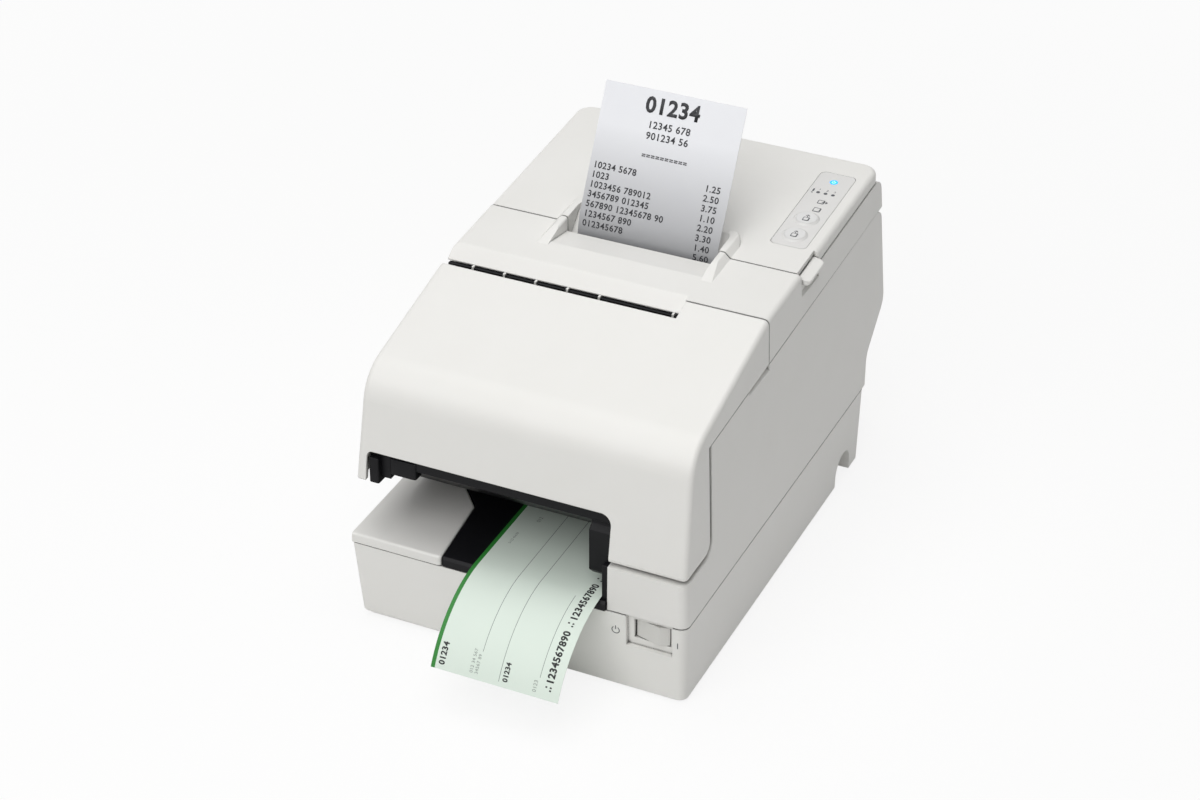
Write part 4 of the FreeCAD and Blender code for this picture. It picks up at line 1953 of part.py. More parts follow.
guide_webs = [side("guide_web", [
    (dim.guide_front + dim.guide_thick / 2, mouth_low + dim.guide_thick),
    (dim.guide_knee, dim.guide_low + dim.guide_thick / 2),
    (dim.guide_knee + dim.guide_bend, plate_top - dim.guide_thick / 2),
    (dim.guide_knee + dim.guide_bend, dim.tray_low),
    (dim.tray_front, dim.tray_low),
    (dim.tray_front, mouth_top - dim.seam),
    (dim.guide_front + dim.guide_thick / 2, mouth_top - dim.seam),
], x, x + dim.guide_thick) for x in web_spots]
guide_block = side("guide_block", [
    (dim.guide_front + dim.guide_thick, mouth_top - dim.seam),
    (dim.guide_front + dim.seam, mouth_low - dim.guide_thick),
    (dim.guide_front - dim.guide_thick, mouth_low - dim.guide_thick * 2),
    (dim.guide_front - dim.guide_thick, dim.block_low + dim.guide_thick * 2, 2),
    (dim.guide_front + dim.guide_thick, dim.block_low),
    (dim.block_back, dim.block_low),
    (dim.block_back, dim.guide_low + dim.guide_thick * 4),
], dim.block_left, dim.throat_right - dim.seam)
guide_claw = box(
    "guide_claw",
    (guide_left, guide_left + dim.claw_wide),
    (deep(dim.guide_front), deep(dim.guide_front + dim.claw_deep)),
    (dim.claw_low, mouth_top),
)
guide_arm = side("guide_arm", [
    (dim.guide_front + dim.guide_thick / 2, mouth_top - dim.seam),
    (dim.guide_front + dim.claw_deep, dim.arm_low),
    (dim.guide_front + dim.claw_deep * 2, dim.arm_low),
    (dim.guide_front + dim.claw_deep * 2, mouth_top - dim.seam),
], guide_left + dim.claw_wide - dim.seam, guide_left + dim.claw_wide + dim.arm_wide)
guide_lugs = together("guide_lugs", *[box(
    "guide_lug",
    (left, left + dim.wall),
    (deep(dim.feed_depth - dim.pinch_shaft * 2), deep(dim.feed_depth + dim.pinch_shaft * 2)),
    (pinch_height - dim.pinch_shaft * 2, plate_top - dim.guide_thick / 2),
) for left in (lug_left, lug_right)])
pinch_windows = together("pinch_windows", *[box(
    "pinch_window",
    (left - dim.feed_window, left + dim.feed_wide + dim.feed_window),
    (deep(dim.feed_depth - dim.pinch_radius - dim.feed_window),
     deep(dim.feed_depth + dim.pinch_radius + dim.feed_window)),
    (dim.guide_level - dim.wall, plate_top + dim.wall),
) for left in roller_spots])
lug_bore = rod("lug_bore", "x", lug_left - dim.wall, lug_right + dim.wall * 2, pinch_centre,
               dim.pinch_shaft + dim.running)
print_window = box(
    "print_window",
    (window_left, dim.window_right),
    (deep(path_front - dim.guide_thick * 2), deep(path_front + dim.wall)),
    (dim.window_low, dim.window_high),
)
guide_full = fuse("guide_full", guide_plate, *guide_webs, guide_block, guide_claw, guide_arm, guide_lugs)
piece("upper_slip_guide", cut("upper_slip_guide", guide_full, pinch_windows, lug_bore, print_window))

# Carriage frame: a tray that carries the rod, the motor plate and the cassette's posts.
cassette_left = tray_left + dim.sheet + dim.feed_gap
tray_top = dim.tray_low + dim.sheet
tray_right = dim.throat_right
rod_centre = (deep(dim.rod_depth), dim.rod_height)
tray_floor = box(
    "tray_floor",
    (tray_left, tray_right),
    (deep(dim.tray_front), deep(dim.tray_back)),
    (dim.tray_low, tray_top),
)
tray_walls = together("tray_walls", *[side("tray_wall", [
    (dim.tray_front, dim.tray_low),
    (dim.tray_back, dim.tray_low),
    (dim.tray_back, dim.rod_height, dim.sheet * 4),
    (dim.rod_depth, dim.tray_wall, dim.sheet * 4),
    (dim.tray_front + dim.sheet * 6, dim.tray_wall),
    (dim.tray_front, dim.belt_low),
], low, low + dim.sheet) for low in (tray_left, tray_right - dim.sheet)])
belt_high = dim.belt_low + dim.belt_wide
pulley_high = belt_high + dim.pulley_flange + dim.belt_gap * 2
motor_plate = box(
    "motor_plate",
    (dim.drive_place - dim.carriage_motor_radius, tray_right - dim.sheet / 2),
    (deep(dim.belt_depth - dim.carriage_motor_radius), deep(dim.belt_depth + dim.carriage_motor_radius)),
    (dim.carriage_motor_low - dim.sheet, dim.carriage_motor_low),
)
idle_axle = rod("idle_axle", "z", dim.tray_low, pulley_high, (idle_place, deep(dim.belt_depth)),
                dim.motor_shaft)
cassette_posts = [rod("cassette_post", "z", dim.tray_low, dim.tray_wall,
                      (x, deep(dim.cassette_front + dim.knob_stem * 1.4)), dim.knob_stem)
                  for x in (cassette_left + dim.claw_wide, dim.cassette_right - dim.claw_wide)]
rod_holes = rod("rod_holes", "x", -far, far, rod_centre, dim.rod_radius)
plate_hole = rod("plate_hole", "z", dim.carriage_motor_low - dim.wall, dim.carriage_motor_low + dim.wall,
                 (dim.drive_place, deep(dim.belt_depth)), dim.motor_boss)
tray_body = fuse("tray_body", tray_floor, tray_walls, motor_plate, idle_axle, *cassette_posts)
piece("carriage_frame", cut("carriage_frame", tray_body, rod_holes, plate_hole))
piece("carriage_rod", rod("carriage_rod", "x", tray_left, tray_right, rod_centre, dim.rod_radius))

# Print head on its carriage.
carriage_right = dim.carriage_left + dim.carriage_wide
clamp_left = dim.carriage_left + dim.carriage_wide / 3
clamp_right = carriage_right - dim.carriage_wide / 3
belt_back = dim.belt_depth + dim.pulley_radius + dim.belt_gap + dim.belt_thick
carriage_body = side("carriage_body", [
    (dim.carriage_front, dim.carriage_low),
    (dim.carriage_back, dim.carriage_low),
    (dim.carriage_back, dim.carriage_high),
    (dim.rod_depth, dim.carriage_high, dim.sheet * 2),
    (dim.carriage_front, dim.rod_height + dim.rod_radius, dim.sheet * 2),
], dim.carriage_left, carriage_right)
carriage_arm = box(
    "carriage_arm",
    (clamp_left, clamp_right),
    (deep(belt_back + dim.feed_gap), deep(dim.carriage_front + dim.wall)),
    (dim.belt_low, belt_high),
)
carriage_shoe = box(
    "carriage_shoe",
    (clamp_left, clamp_right),
    (deep(dim.carriage_front), deep(dim.carriage_front + dim.wall * 2)),
    (tray_top + dim.feed_gap, dim.carriage_low + dim.wall),
)
carriage_bore = rod("carriage_bore", "x", -far, far, rod_centre, dim.rod_radius + dim.running)
carriage_full = fuse("carriage_full", carriage_body, carriage_arm, carriage_shoe)
piece("head_carriage", cut("head_carriage", carriage_full, carriage_bore))
head_left = dim.carriage_left + dim.head_inset
head_right = carriage_right - dim.head_inset
nose_left = head_left + dim.nose_inset
nose_right = head_right - dim.nose_inset
head_body = plan("head_body", [
    (head_left, dim.carriage_back),
    (head_right, dim.carriage_back),
    (head_right, dim.dot_head_back, dim.sheet * 2),
    (nose_right, dim.dot_head_back + dim.sheet * 2),
    (nose_right, dim.nose_back),
    (nose_left, dim.nose_back),
    (nose_left, dim.dot_head_back + dim.sheet * 2),
    (head_left, dim.dot_head_back, dim.sheet * 2),
], dim.carriage_low + dim.sheet, dim.carriage_high - dim.sheet)
head_trim = side("head_trim", [
    (dim.carriage_back - dim.wall, dim.carriage_low),
    (dim.dot_head_back, dim.carriage_low),
    (dim.nose_back + dim.wall, dim.ribbon_foot),
    (dim.nose_back + dim.wall, dim.ribbon_foot + dim.ribbon_band),
    (dim.dot_head_back, dim.carriage_high),
    (dim.carriage_back - dim.wall, dim.carriage_high),
], head_left - dim.wall, head_right + dim.wall)
piece("print_head", common("print_head", head_body, head_trim))

# Belt drive of the carriage.
belt_in = dim.pulley_radius + dim.belt_gap
belt_out = belt_in + dim.belt_thick


def loop(name, reach, low, high):
    """A flat loop of the belt's run, reach wide from the line of the pulleys."""
    run = box(
        name + "_run",
        (idle_place, dim.drive_place),
        (deep(dim.belt_depth - reach), deep(dim.belt_depth + reach)),
        (low, high),
    )
    ends = [rod(name + "_end", "z", low, high, (x, deep(dim.belt_depth)), reach)
            for x in (idle_place, dim.drive_place)]
    return fuse(name, run, *ends)


piece("timing_belt", cut("timing_belt", loop("belt_outside", belt_out, dim.belt_low, belt_high),
                         loop("belt_inside", belt_in, dim.belt_low - dim.wall, belt_high + dim.wall)))


def pulley(name, x, bore):
    """A flanged belt pulley, bored for its axle."""
    spot = (x, deep(dim.belt_depth))
    low = dim.belt_low - dim.belt_gap * 2
    high = belt_high + dim.belt_gap * 2
    drum = rod(name + "_drum", "z", low - dim.pulley_flange, high + dim.pulley_flange, spot,
               dim.pulley_radius)
    flanges = [rod(name + "_flange", "z", start, start + dim.pulley_flange, spot, belt_out)
               for start in (low - dim.pulley_flange, high)]
    hole = rod(name + "_hole", "z", low - dim.wall, high + dim.wall, spot, bore)
    return cut(name + "_bored", fuse(name + "_body", drum, *flanges), hole)


piece("idle_pulley", pulley("idle_pulley", idle_place, dim.motor_shaft + dim.running))
drive_spot = (dim.drive_place, deep(dim.belt_depth))
drive_core = (dim.carriage_motor_low + dim.carriage_motor_high) / 2
drive_stem = rod("drive_stem", "z", dim.belt_low, drive_core, drive_spot, dim.motor_shaft)
drive_wheel = pulley("drive_wheel", dim.drive_place, dim.motor_shaft)
piece("drive_pulley", fuse("drive_pulley", drive_wheel, drive_stem))
drive_can = rod("drive_can", "z", dim.carriage_motor_low, dim.carriage_motor_high, drive_spot,
                dim.carriage_motor_radius)
drive_nose = rod("drive_nose", "z", dim.carriage_motor_low - dim.sheet, dim.carriage_motor_low + dim.wall,
                 drive_spot, dim.motor_boss)
drive_bore = rod("drive_bore", "z", dim.belt_low, drive_core + dim.running, drive_spot,
                 dim.motor_shaft + dim.running)
piece("carriage_motor", cut("carriage_motor", fuse("drive_body", drive_can, drive_nose), drive_bore))

# Ribbon cassette with its arms, and the knob that tightens the ribbon.
cassette_low = dim.tray_wall
cassette_top = cassette_low + dim.cassette_high
arm_back = dim.ribbon_depth + dim.ribbon_thick
cassette_case = plan("cassette_case", [
    (cassette_left, dim.cassette_front, dim.cassette_round),
    (dim.cassette_right, dim.cassette_front, dim.cassette_round),
    (dim.cassette_right, dim.cassette_back - dim.cassette_round * 2, dim.cassette_round),
    (dim.ribbon_right, dim.cassette_back - dim.cassette_round * 2),
    (dim.ribbon_right, arm_back),
    (dim.ribbon_right - dim.ribbon_arm, arm_back),
    (dim.ribbon_right - dim.ribbon_arm, dim.cassette_back),
    (cassette_left + dim.ribbon_arm, dim.cassette_back),
    (cassette_left + dim.ribbon_arm, arm_back),
    (cassette_left, arm_back),
], cassette_low, cassette_top)
ribbon_arms = together("ribbon_arms", *[box(
    "ribbon_arm",
    (low, low + dim.ribbon_arm),
    (deep(dim.ribbon_depth - dim.ribbon_arm * 0.6), deep(arm_back)),
    (dim.ribbon_low, cassette_low + dim.cassette_high / 2),
) for low in (cassette_left, dim.ribbon_right - dim.ribbon_arm)])
ribbon = box(
    "ribbon",
    (cassette_left + dim.ribbon_arm / 2, dim.ribbon_right - dim.ribbon_arm / 2),
    (deep(dim.ribbon_depth), deep(arm_back)),
    (dim.ribbon_foot, dim.ribbon_foot + dim.ribbon_band),
)
knob_spot = (dim.knob_place, deep(dim.knob_depth))
knob_hole = rod("knob_hole", "z", cassette_low + dim.wall, cassette_top + dim.wall, knob_spot,
                dim.knob_stem + dim.running)
cassette_full = fuse("cassette_full", cassette_case, ribbon_arms, ribbon)
piece("ribbon_cassette", cut("ribbon_cassette", cassette_full, knob_hole))
knob_low = cassette_top + dim.feed_gap
knob_disc = rod("knob_disc", "z", knob_low, knob_low + dim.knob_high, knob_spot, dim.knob_radius)
knob_stem = rod("knob_stem", "z", cassette_low + dim.wall + dim.feed_gap, knob_low + dim.seam, knob_spot,
                dim.knob_stem)
knob_grip = box(
    "knob_grip",
    (dim.knob_place - dim.knob_stem / 2, dim.knob_place + dim.knob_stem / 2),
    (deep(dim.knob_depth - dim.knob_radius + dim.seam), deep(dim.knob_depth + dim.knob_radius - dim.seam)),
    (knob_low + dim.seam, knob_low + dim.knob_high * 3 / 2),
)
piece("ribbon_knob", fuse("ribbon_knob", knob_disc, knob_stem, knob_grip))

# Main board, connector panel and sockets in the bay at the rear.
board_back = dim.bulkhead - dim.seam
board_high = dim.board_height + dim.board_thick
board_sheet = box(
    "board_sheet",
    (-dim.board_half, dim.board_half),
    (deep(dim.board_front), deep(board_back)),
    (dim.board_height, board_high),
)
# Left edge, distance behind the board's front, width and height of each block on the board.
chip_row = (
    (-38.4, 10.0, 20.0, 2.5),
    (6.4, 15.0, 24.0, 2.5),
    (38.4, 40.0, 12.0, 10.0),
)
board_chips = together("board_chips", *[box(
    "board_chip",
    (as_size(x), as_size(x + wide)),
    (deep(dim.board_front + depth), deep(dim.board_front + depth + wide)),
    (board_high - dim.board_thick / 2, board_high + high),
) for x, depth, wide, high in chip_row])
piece("main_board", fuse("main_board", board_sheet, board_chips))
plate_back = bay_front + dim.plate_thick
socket_back = plate_back + dim.socket_step
socket_front = socket_back - dim.socket_depth
sockets = []
socket_holes = []
# Place from the middle, width and height of each socket.
socket_row = (
    (-52.0, 14.0, 13.0),
    (-27.0, 14.0, 12.5),
    (-5.0, 12.0, 11.0),
    (17.0, 16.0, 13.5),
    (45.0, 30.0, 12.0),
)
for x, wide, high in socket_row:
    low_x = as_size(x) - as_size(wide) / 2
    high_x = as_size(x) + as_size(wide) / 2
    shell = box(
        "socket_shell",
        (low_x, high_x),
        (deep(socket_front), deep(socket_back)),
        (board_high, board_high + high),
    )
    mouth = box(
        "socket_mouth",
        (low_x + dim.socket_wall, high_x - dim.socket_wall),
        (deep(socket_front + dim.wall), deep(socket_back + dim.wall)),
        (board_high + dim.socket_wall, board_high + high - dim.socket_wall),
    )
    sockets.append(cut("socket", shell, mouth))
    socket_holes.append(box(
        "socket_hole",
        (low_x - dim.socket_gap, high_x + dim.socket_gap),
        (deep(bay_front - dim.wall), deep(plate_back + dim.wall)),
        (board_high - dim.socket_gap, board_high + high + dim.socket_gap),
    ))
piece("interface_sockets", together("interface_sockets", *sockets))
connector_plate = box(
    "connector_plate",
    (-dim.port_half - dim.plate_margin, dim.port_half + dim.plate_margin),
    (deep(bay_front), deep(plate_back)),
    (dim.port_low - dim.plate_margin, dim.port_high + dim.plate_margin),
)
piece("connector_panel", cut("connector_panel", connector_plate, together("socket_holes", *socket_holes)))

os.makedirs("parts", exist_ok=True)
doc.recompute()
for item in doc.Objects:
    if "Invalid" in item.State or "Error" in item.State:
        raise RuntimeError("%s is not built: %s" % (item.Name, item.State))
for item in pieces:
    if item.Shape.isNull() or not item.Shape.isValid():
        raise RuntimeError("%s has no valid shape" % item.Label)
    item.Shape.exportStep("parts/%s.step" % item.Label)
    print(item.Label, len(item.Shape.Solids), round(item.Shape.Volume, 1))
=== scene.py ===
"""Looks of a receipt printer with a slip station: finishes, papers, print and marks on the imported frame."""

import functools
import json
import logging
import math
from dataclasses import dataclass, field
from enum import Enum
from typing import Callable, Iterable, Sequence

import bpy
import numpy as np
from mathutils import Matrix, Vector


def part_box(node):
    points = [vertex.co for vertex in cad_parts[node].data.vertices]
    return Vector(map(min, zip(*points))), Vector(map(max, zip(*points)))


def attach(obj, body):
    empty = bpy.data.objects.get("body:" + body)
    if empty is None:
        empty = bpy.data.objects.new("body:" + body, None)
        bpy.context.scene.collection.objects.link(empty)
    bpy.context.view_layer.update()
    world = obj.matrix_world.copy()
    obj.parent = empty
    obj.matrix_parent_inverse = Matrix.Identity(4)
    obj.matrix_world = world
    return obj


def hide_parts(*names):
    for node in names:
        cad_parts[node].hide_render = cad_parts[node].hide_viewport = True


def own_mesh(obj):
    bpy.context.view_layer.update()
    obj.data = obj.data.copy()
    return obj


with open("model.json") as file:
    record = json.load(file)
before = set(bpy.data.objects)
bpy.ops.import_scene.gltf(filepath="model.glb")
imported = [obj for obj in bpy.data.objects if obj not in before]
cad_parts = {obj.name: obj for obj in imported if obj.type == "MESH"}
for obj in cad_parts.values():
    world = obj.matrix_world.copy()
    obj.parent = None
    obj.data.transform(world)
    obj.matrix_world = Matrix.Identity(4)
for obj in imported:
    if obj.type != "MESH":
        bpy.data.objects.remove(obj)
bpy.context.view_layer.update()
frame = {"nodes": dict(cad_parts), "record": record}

log = logging.getLogger("printer")
MM = 0.001
WHITE = (1.0, 1.0, 1.0, 1.0)
DOWN = (0, 0, -1)
INWARD = (0, 1, 0)
RIGHT = (1, 0, 0)
# A line that starts this many metres from the origin starts outside the printer.
OUTSIDE = 0.3
# Radius of the power lamp's lens in millimetres.
LAMP_RADIUS = 2.2
# Edges that turn by more than this angle stay sharp.
CREASE = math.radians(40)
# The ring of the power sign runs from the first angle to the second, in degrees, and is open at the top.
POWER_RING = (125, 415)
Socket = bpy.types.NodeSocket
Place = Callable[[np.ndarray, float | np.ndarray], np.ndarray]


def linear(code: str) -> tuple[float, float, float, float]:
    """Turns an sRGB hex colour to linear light.

    Args:
        code: the colour, such as "#E4E3DF".
    Returns:
        Red, green, blue and alpha for a socket.
    """
    parts = np.array([int(code[i:i + 2], 16) for i in (1, 3, 5)]) / 255.0
    light = np.where(parts <= 0.04045, parts / 12.92, ((parts + 0.055) / 1.055) ** 2.4)
    return (*light.tolist(), 1.0)


def add(tree: bpy.types.NodeTree, kind: str, inputs: dict | None = None,
        **settings: object) -> bpy.types.Node:
    """Adds one node with its settings and links.

    Args:
        tree: the tree that gets the node.
        kind: the node's type.
        inputs: each input's value, or the socket that feeds it.
        settings: the node's own options.
    Returns:
        The new node.
    """
    node = tree.nodes.new(kind)
    for key, value in settings.items():
        setattr(node, key, value)
    for key, value in (inputs or {}).items():
        if isinstance(value, Socket):
            tree.links.new(value, node.inputs[key])
        else:
            node.inputs[key].default_value = value
    return node


class Grain(Enum):
    """How a surface's fine pattern runs."""

    SPARKED = (1.0, 1.0, 1.0)
    ROLLED_X = (0.06, 1.0, 1.0)
    TURNED = (0.04, 1.0, 1.0)


@dataclass(frozen=True)
class Finish:
    """A surface finish: slow tint, fine grain in gloss and height, softened edges and painted shade in seams
    and inner corners.

    A seam is where walls nearer than seam_mm leave less of the surroundings open than the second share of
    seam_open, and at the first share the colour is down to its deepest painted shade. This darkening is
    painted shade: ambient occlusion stands in for the shade that falls in seams and inner corners.
    """

    name: str
    colour: str
    tint: str
    rough: float
    patch_mm: float = 35.0
    grain_mm: float = 0.7
    relief_mm: float = 0.006
    rough_span: float = 0.08
    edge_mm: float = 0.35
    metallic: float = 0.0
    ior: float = 1.5
    seam_mm: float = 0.0
    grain: Grain = Grain.SPARKED
    sockets: tuple[tuple[str, float], ...] = ()
    patch_detail: float = 3.0
    patch_rough: float = 0.6
    grain_detail: float = 2.0
    edge_samples: int = 4
    seam_samples: int = 6
    seam_open: tuple[float, float] = (0.25, 0.7)
    painted_seam_shade: float = 0.06

    def colouring(self, tree: bpy.types.NodeTree, coords: Socket) -> Socket:
        """Mixes the two tints by slow noise, and paints shade on what lies in a seam or an inner corner.

        Args:
            tree: the material's nodes.
            coords: the Object coordinates.
        Returns:
            The colour socket.
        """
        slow = add(tree, "ShaderNodeTexNoise", {
            "Vector": coords, "Scale": 1 / (self.patch_mm * MM), "Detail": self.patch_detail,
            "Roughness": self.patch_rough})
        mix = add(tree, "ShaderNodeMix", {
            "Factor": slow.outputs[0], 6: linear(self.colour), 7: linear(self.tint)}, data_type="RGBA")
        if not self.seam_mm:
            return mix.outputs[2]
        # Painted shade: ambient occlusion darkens the colour in seams and inner corners, where shade falls.
        depth = add(tree, "ShaderNodeAmbientOcclusion", {"Distance": self.seam_mm * MM},
                    samples=self.seam_samples)
        seam_shade_share = add(tree, "ShaderNodeMapRange", {
            "Value": depth.outputs["AO"], "From Min": self.seam_open[0], "From Max": self.seam_open[1],
            "To Min": self.painted_seam_shade})
        return add(tree, "ShaderNodeMix", {
            "Factor": 1.0, 6: mix.outputs[2], 7: seam_shade_share.outputs[0]},
            data_type="RGBA", blend_type="MULTIPLY").outputs[2]

    def material(self) -> bpy.types.Material:
        """Gives the finish's material, made once."""
        return make_material(self)


@functools.lru_cache(maxsize=None)
def make_material(finish: Finish) -> bpy.types.Material:
    """Builds a finish as one shader with grain in its roughness and height.

    Args:
        finish: the finish to build.
    Returns:
        The material.
    """
    made = bpy.data.materials.new(finish.name)
    made.use_nodes = True
    tree = made.node_tree
    shader = tree.nodes["Principled BSDF"]
    coords = add(tree, "ShaderNodeTexCoord").outputs["Object"]
    stretched = add(tree, "ShaderNodeMapping", {"Vector": coords, "Scale": finish.grain.value}).outputs[0]
    fine = add(tree, "ShaderNodeTexNoise", {
        "Vector": stretched, "Scale": 1 / (finish.grain_mm * MM), "Detail": finish.grain_detail}).outputs[0]
    gloss = add(tree, "ShaderNodeMapRange", {
        "Value": fine, "To Min": finish.rough - finish.rough_span,
        "To Max": finish.rough + finish.rough_span})
    edge = add(tree, "ShaderNodeBevel", {"Radius": finish.edge_mm * MM}, samples=finish.edge_samples)
    height = add(tree, "ShaderNodeBump", {
        "Height": fine, "Distance": finish.relief_mm * MM, "Strength": 1.0, "Normal": edge.outputs[0]})
    tree.links.new(finish.colouring(tree, coords), shader.inputs["Base Color"])
    tree.links.new(gloss.outputs[0], shader.inputs["Roughness"])
    tree.links.new(height.outputs[0], shader.inputs["Normal"])
    shader.inputs["Metallic"].default_value = finish.metallic
    shader.inputs["IOR"].default_value = finish.ior
    for socket, value in finish.sockets:
        shader.inputs[socket].default_value = value
    return made


@dataclass(frozen=True)
class StripedPaper(Finish):
    """Form paper with a coloured edge and thin rules, read from the sheet's own millimetre UV map."""

    stripe: str = "#257A2B"
    rule: str = "#7F8783"
    stripe_mm: float = 2.4
    beyond_mm: float = 1000.0
    rules: tuple[tuple[float, float, float, float], ...] = ()

    def colouring(self, tree: bpy.types.NodeTree, coords: Socket) -> Socket:
        """Draws the stripe where u is under its width, and each rule inside its box of u and v.

        Args:
            tree: the material's nodes.
            coords: the Object coordinates.
        Returns:
            The colour socket.
        """
        colour = super().colouring(tree, coords)
        uv = add(tree, "ShaderNodeUVMap", uv_map="UVMap").outputs[0]
        flat = add(tree, "ShaderNodeSeparateXYZ", {"Vector": uv})

        def within(socket: Socket, low: float, high: float) -> Socket:
            """Gives 1 where the value lies between two limits.

            Args:
                socket: the value.
                low: the lower limit.
                high: the upper limit.
            Returns:
                The test's socket.
            """
            middle, half = (low + high) / 2, (high - low) / 2
            near = add(tree, "ShaderNodeMath", {0: socket, 1: middle, 2: half}, operation="COMPARE")
            return near.outputs[0]

        boxes = [(0.0, self.stripe_mm, 0.0, self.beyond_mm, self.stripe)]
        boxes += [(*box, self.rule) for box in self.rules]
        for left, right, start, end, ink in boxes:
            inside = add(tree, "ShaderNodeMath", {
                0: within(flat.outputs[0], left, right), 1: within(flat.outputs[1], start, end)},
                operation="MULTIPLY")
            colour = add(tree, "ShaderNodeMix", {
                "Factor": inside.outputs[0], 6: colour, 7: linear(ink)}, data_type="RGBA").outputs[2]
        return colour


@dataclass(frozen=True)
class PaintedShadePaper(Finish):
    """Strip paper with painted shade that turns it greyer along its length, read from the sheet's own
    millimetre UV map.
    """

    start_mm: float = 22.0
    end_mm: float = 88.0
    low: float = 0.34

    def colouring(self, tree: bpy.types.NodeTree, coords: Socket) -> Socket:
        """Paints shade: multiplies the tint by a share that falls evenly between the two lengths.

        Args:
            tree: the material's nodes.
            coords: the Object coordinates.
        Returns:
            The colour socket.
        """
        colour = super().colouring(tree, coords)
        uv = add(tree, "ShaderNodeUVMap", uv_map="UVMap").outputs[0]
        along = add(tree, "ShaderNodeSeparateXYZ", {"Vector": uv}).outputs[1]
        # Painted shade: the paper darkens towards the exit slot, down to the share low at end_mm.
        share = add(tree, "ShaderNodeMapRange", {
            "Value": along, "From Min": self.start_mm, "From Max": self.end_mm, "To Min": 1.0,
            "To Max": self.low})
        return add(tree, "ShaderNodeMix", {"Factor": 1.0, 6: colour, 7: share.outputs[0]},
                   data_type="RGBA", blend_type="MULTIPLY").outputs[2]


@dataclass(frozen=True)
class Lens(Finish):
    """Lamp lenses: the rear lamp is lit, the row in front of it is dark."""

    lit: str = "#0C9BF5"
    glow: str = "#35D8F2"
    split_m: float = 0.0
    centre_m: tuple[float, float] = (0.0, 0.0)
    core_mm: float = LAMP_RADIUS
    strength: float = 0.75

    def colouring(self, tree: bpy.types.NodeTree, coords: Socket) -> Socket:
        """Lights everything behind the split, paler towards the lamp's middle.

        Args:
            tree: the material's nodes.
            coords: the Object coordinates.
        Returns:
            The colour socket.
        """
        dark = super().colouring(tree, coords)
        part = add(tree, "ShaderNodeSeparateXYZ", {"Vector": coords})
        behind = add(tree, "ShaderNodeMath", {0: part.outputs[1], 1: self.split_m}, operation="GREATER_THAN")
        level = add(tree, "ShaderNodeCombineXYZ", {0: part.outputs[0], 1: part.outputs[1]})
        away = add(tree, "ShaderNodeVectorMath", {0: level.outputs[0], 1: (*self.centre_m, 0.0)},
                   operation="DISTANCE")
        ring = add(tree, "ShaderNodeMapRange", {
            "Value": away.outputs["Value"], "From Max": self.core_mm * MM})
        blue = add(tree, "ShaderNodeMix", {
            "Factor": ring.outputs[0], 6: linear(self.glow), 7: linear(self.lit)}, data_type="RGBA")
        colour = add(tree, "ShaderNodeMix", {
            "Factor": behind.outputs[0], 6: dark, 7: blue.outputs[2]}, data_type="RGBA").outputs[2]
        shader = tree.nodes["Principled BSDF"]
        tree.links.new(colour, shader.inputs["Emission Color"])
        lamp = add(tree, "ShaderNodeMath", {0: behind.outputs[0], 1: self.strength}, operation="MULTIPLY")
        tree.links.new(lamp.outputs[0], shader.inputs["Emission Strength"])
        return colour


@dataclass(frozen=True)
class WoundPaper(Finish):
    """A paper roll whose ends show fine rings, one for each few layers."""

    axis_m: tuple[float, float] = (0.0, 0.0)
    layer_mm: float = 0.7
    between: str = "#A9ABB0"
    ring_from: float = 0.2
    ring_share: float = 0.35

    def colouring(self, tree: bpy.types.NodeTree, coords: Socket) -> Socket:
        """Darkens thin rings by the sine of the distance from the roll's axis.

        Args:
            tree: the material's nodes.
            coords: the Object coordinates.
        Returns:
            The colour socket.
        """
        base = super().colouring(tree, coords)
        part = add(tree, "ShaderNodeSeparateXYZ", {"Vector": coords})
        level = add(tree, "ShaderNodeCombineXYZ", {0: part.outputs[1], 1: part.outputs[2]})
        away = add(tree, "ShaderNodeVectorMath", {0: level.outputs[0], 1: (*self.axis_m, 0.0)},
                   operation="DISTANCE")
        turns = add(tree, "ShaderNodeMath", {
            0: away.outputs["Value"], 1: 2 * math.pi / (self.layer_mm * MM)}, operation="MULTIPLY")
        wave = add(tree, "ShaderNodeMath", {0: turns.outputs[0]}, operation="SINE")
        share = add(tree, "ShaderNodeMapRange", {
            "Value": wave.outputs[0], "From Min": self.ring_from, "From Max": 1.0, "To Max": self.ring_share})
        return add(tree, "ShaderNodeMix", {
            "Factor": share.outputs[0], 6: base, 7: linear(self.between)}, data_type="RGBA").outputs[2]


@dataclass(frozen=True)
class BoardMask(Finish):
    """Solder mask with paler copper lanes under it."""

    lane: str = "#2F8A57"
    lane_mm: float = 3.2
    wander: float = 0.35
    lane_from: float = 0.42

    def colouring(self, tree: bpy.types.NodeTree, coords: Socket) -> Socket:
        """Shows lanes near the edges of a square-celled pattern.

        Args:
            tree: the material's nodes.
            coords: the Object coordinates.
        Returns:
            The colour socket.
        """
        base = super().colouring(tree, coords)
        cell = add(tree, "ShaderNodeTexVoronoi", {
            "Vector": coords, "Scale": 1 / (self.lane_mm * MM), "Randomness": self.wander},
            distance="CHEBYCHEV")
        edge = add(tree, "ShaderNodeMath", {0: cell.outputs[0], 1: self.lane_from}, operation="GREATER_THAN")
        return add(tree, "ShaderNodeMix", {
            "Factor": edge.outputs[0], 6: base, 7: linear(self.lane)}, data_type="RGBA").outputs[2]


# Warm white ABS, spark-eroded mould: soft sheen, grain drawn at 0.6 mm so that it shows, painted shade in
# seams and inner corners.
CASE_ABS = Finish("abs_warm_white_sparked", "#E4E3E0", "#E0DFDB", 0.4, grain_mm=0.6, relief_mm=0.004,
                  edge_mm=0.6, seam_mm=2.2)
# Rocker in greyer ABS, moulded in a polished cavity: glossier than the case.
ROCKER_ABS = Finish("abs_grey_white_polished", "#D3D2CE", "#CFCECA", 0.32, grain_mm=0.9, relief_mm=0.003)
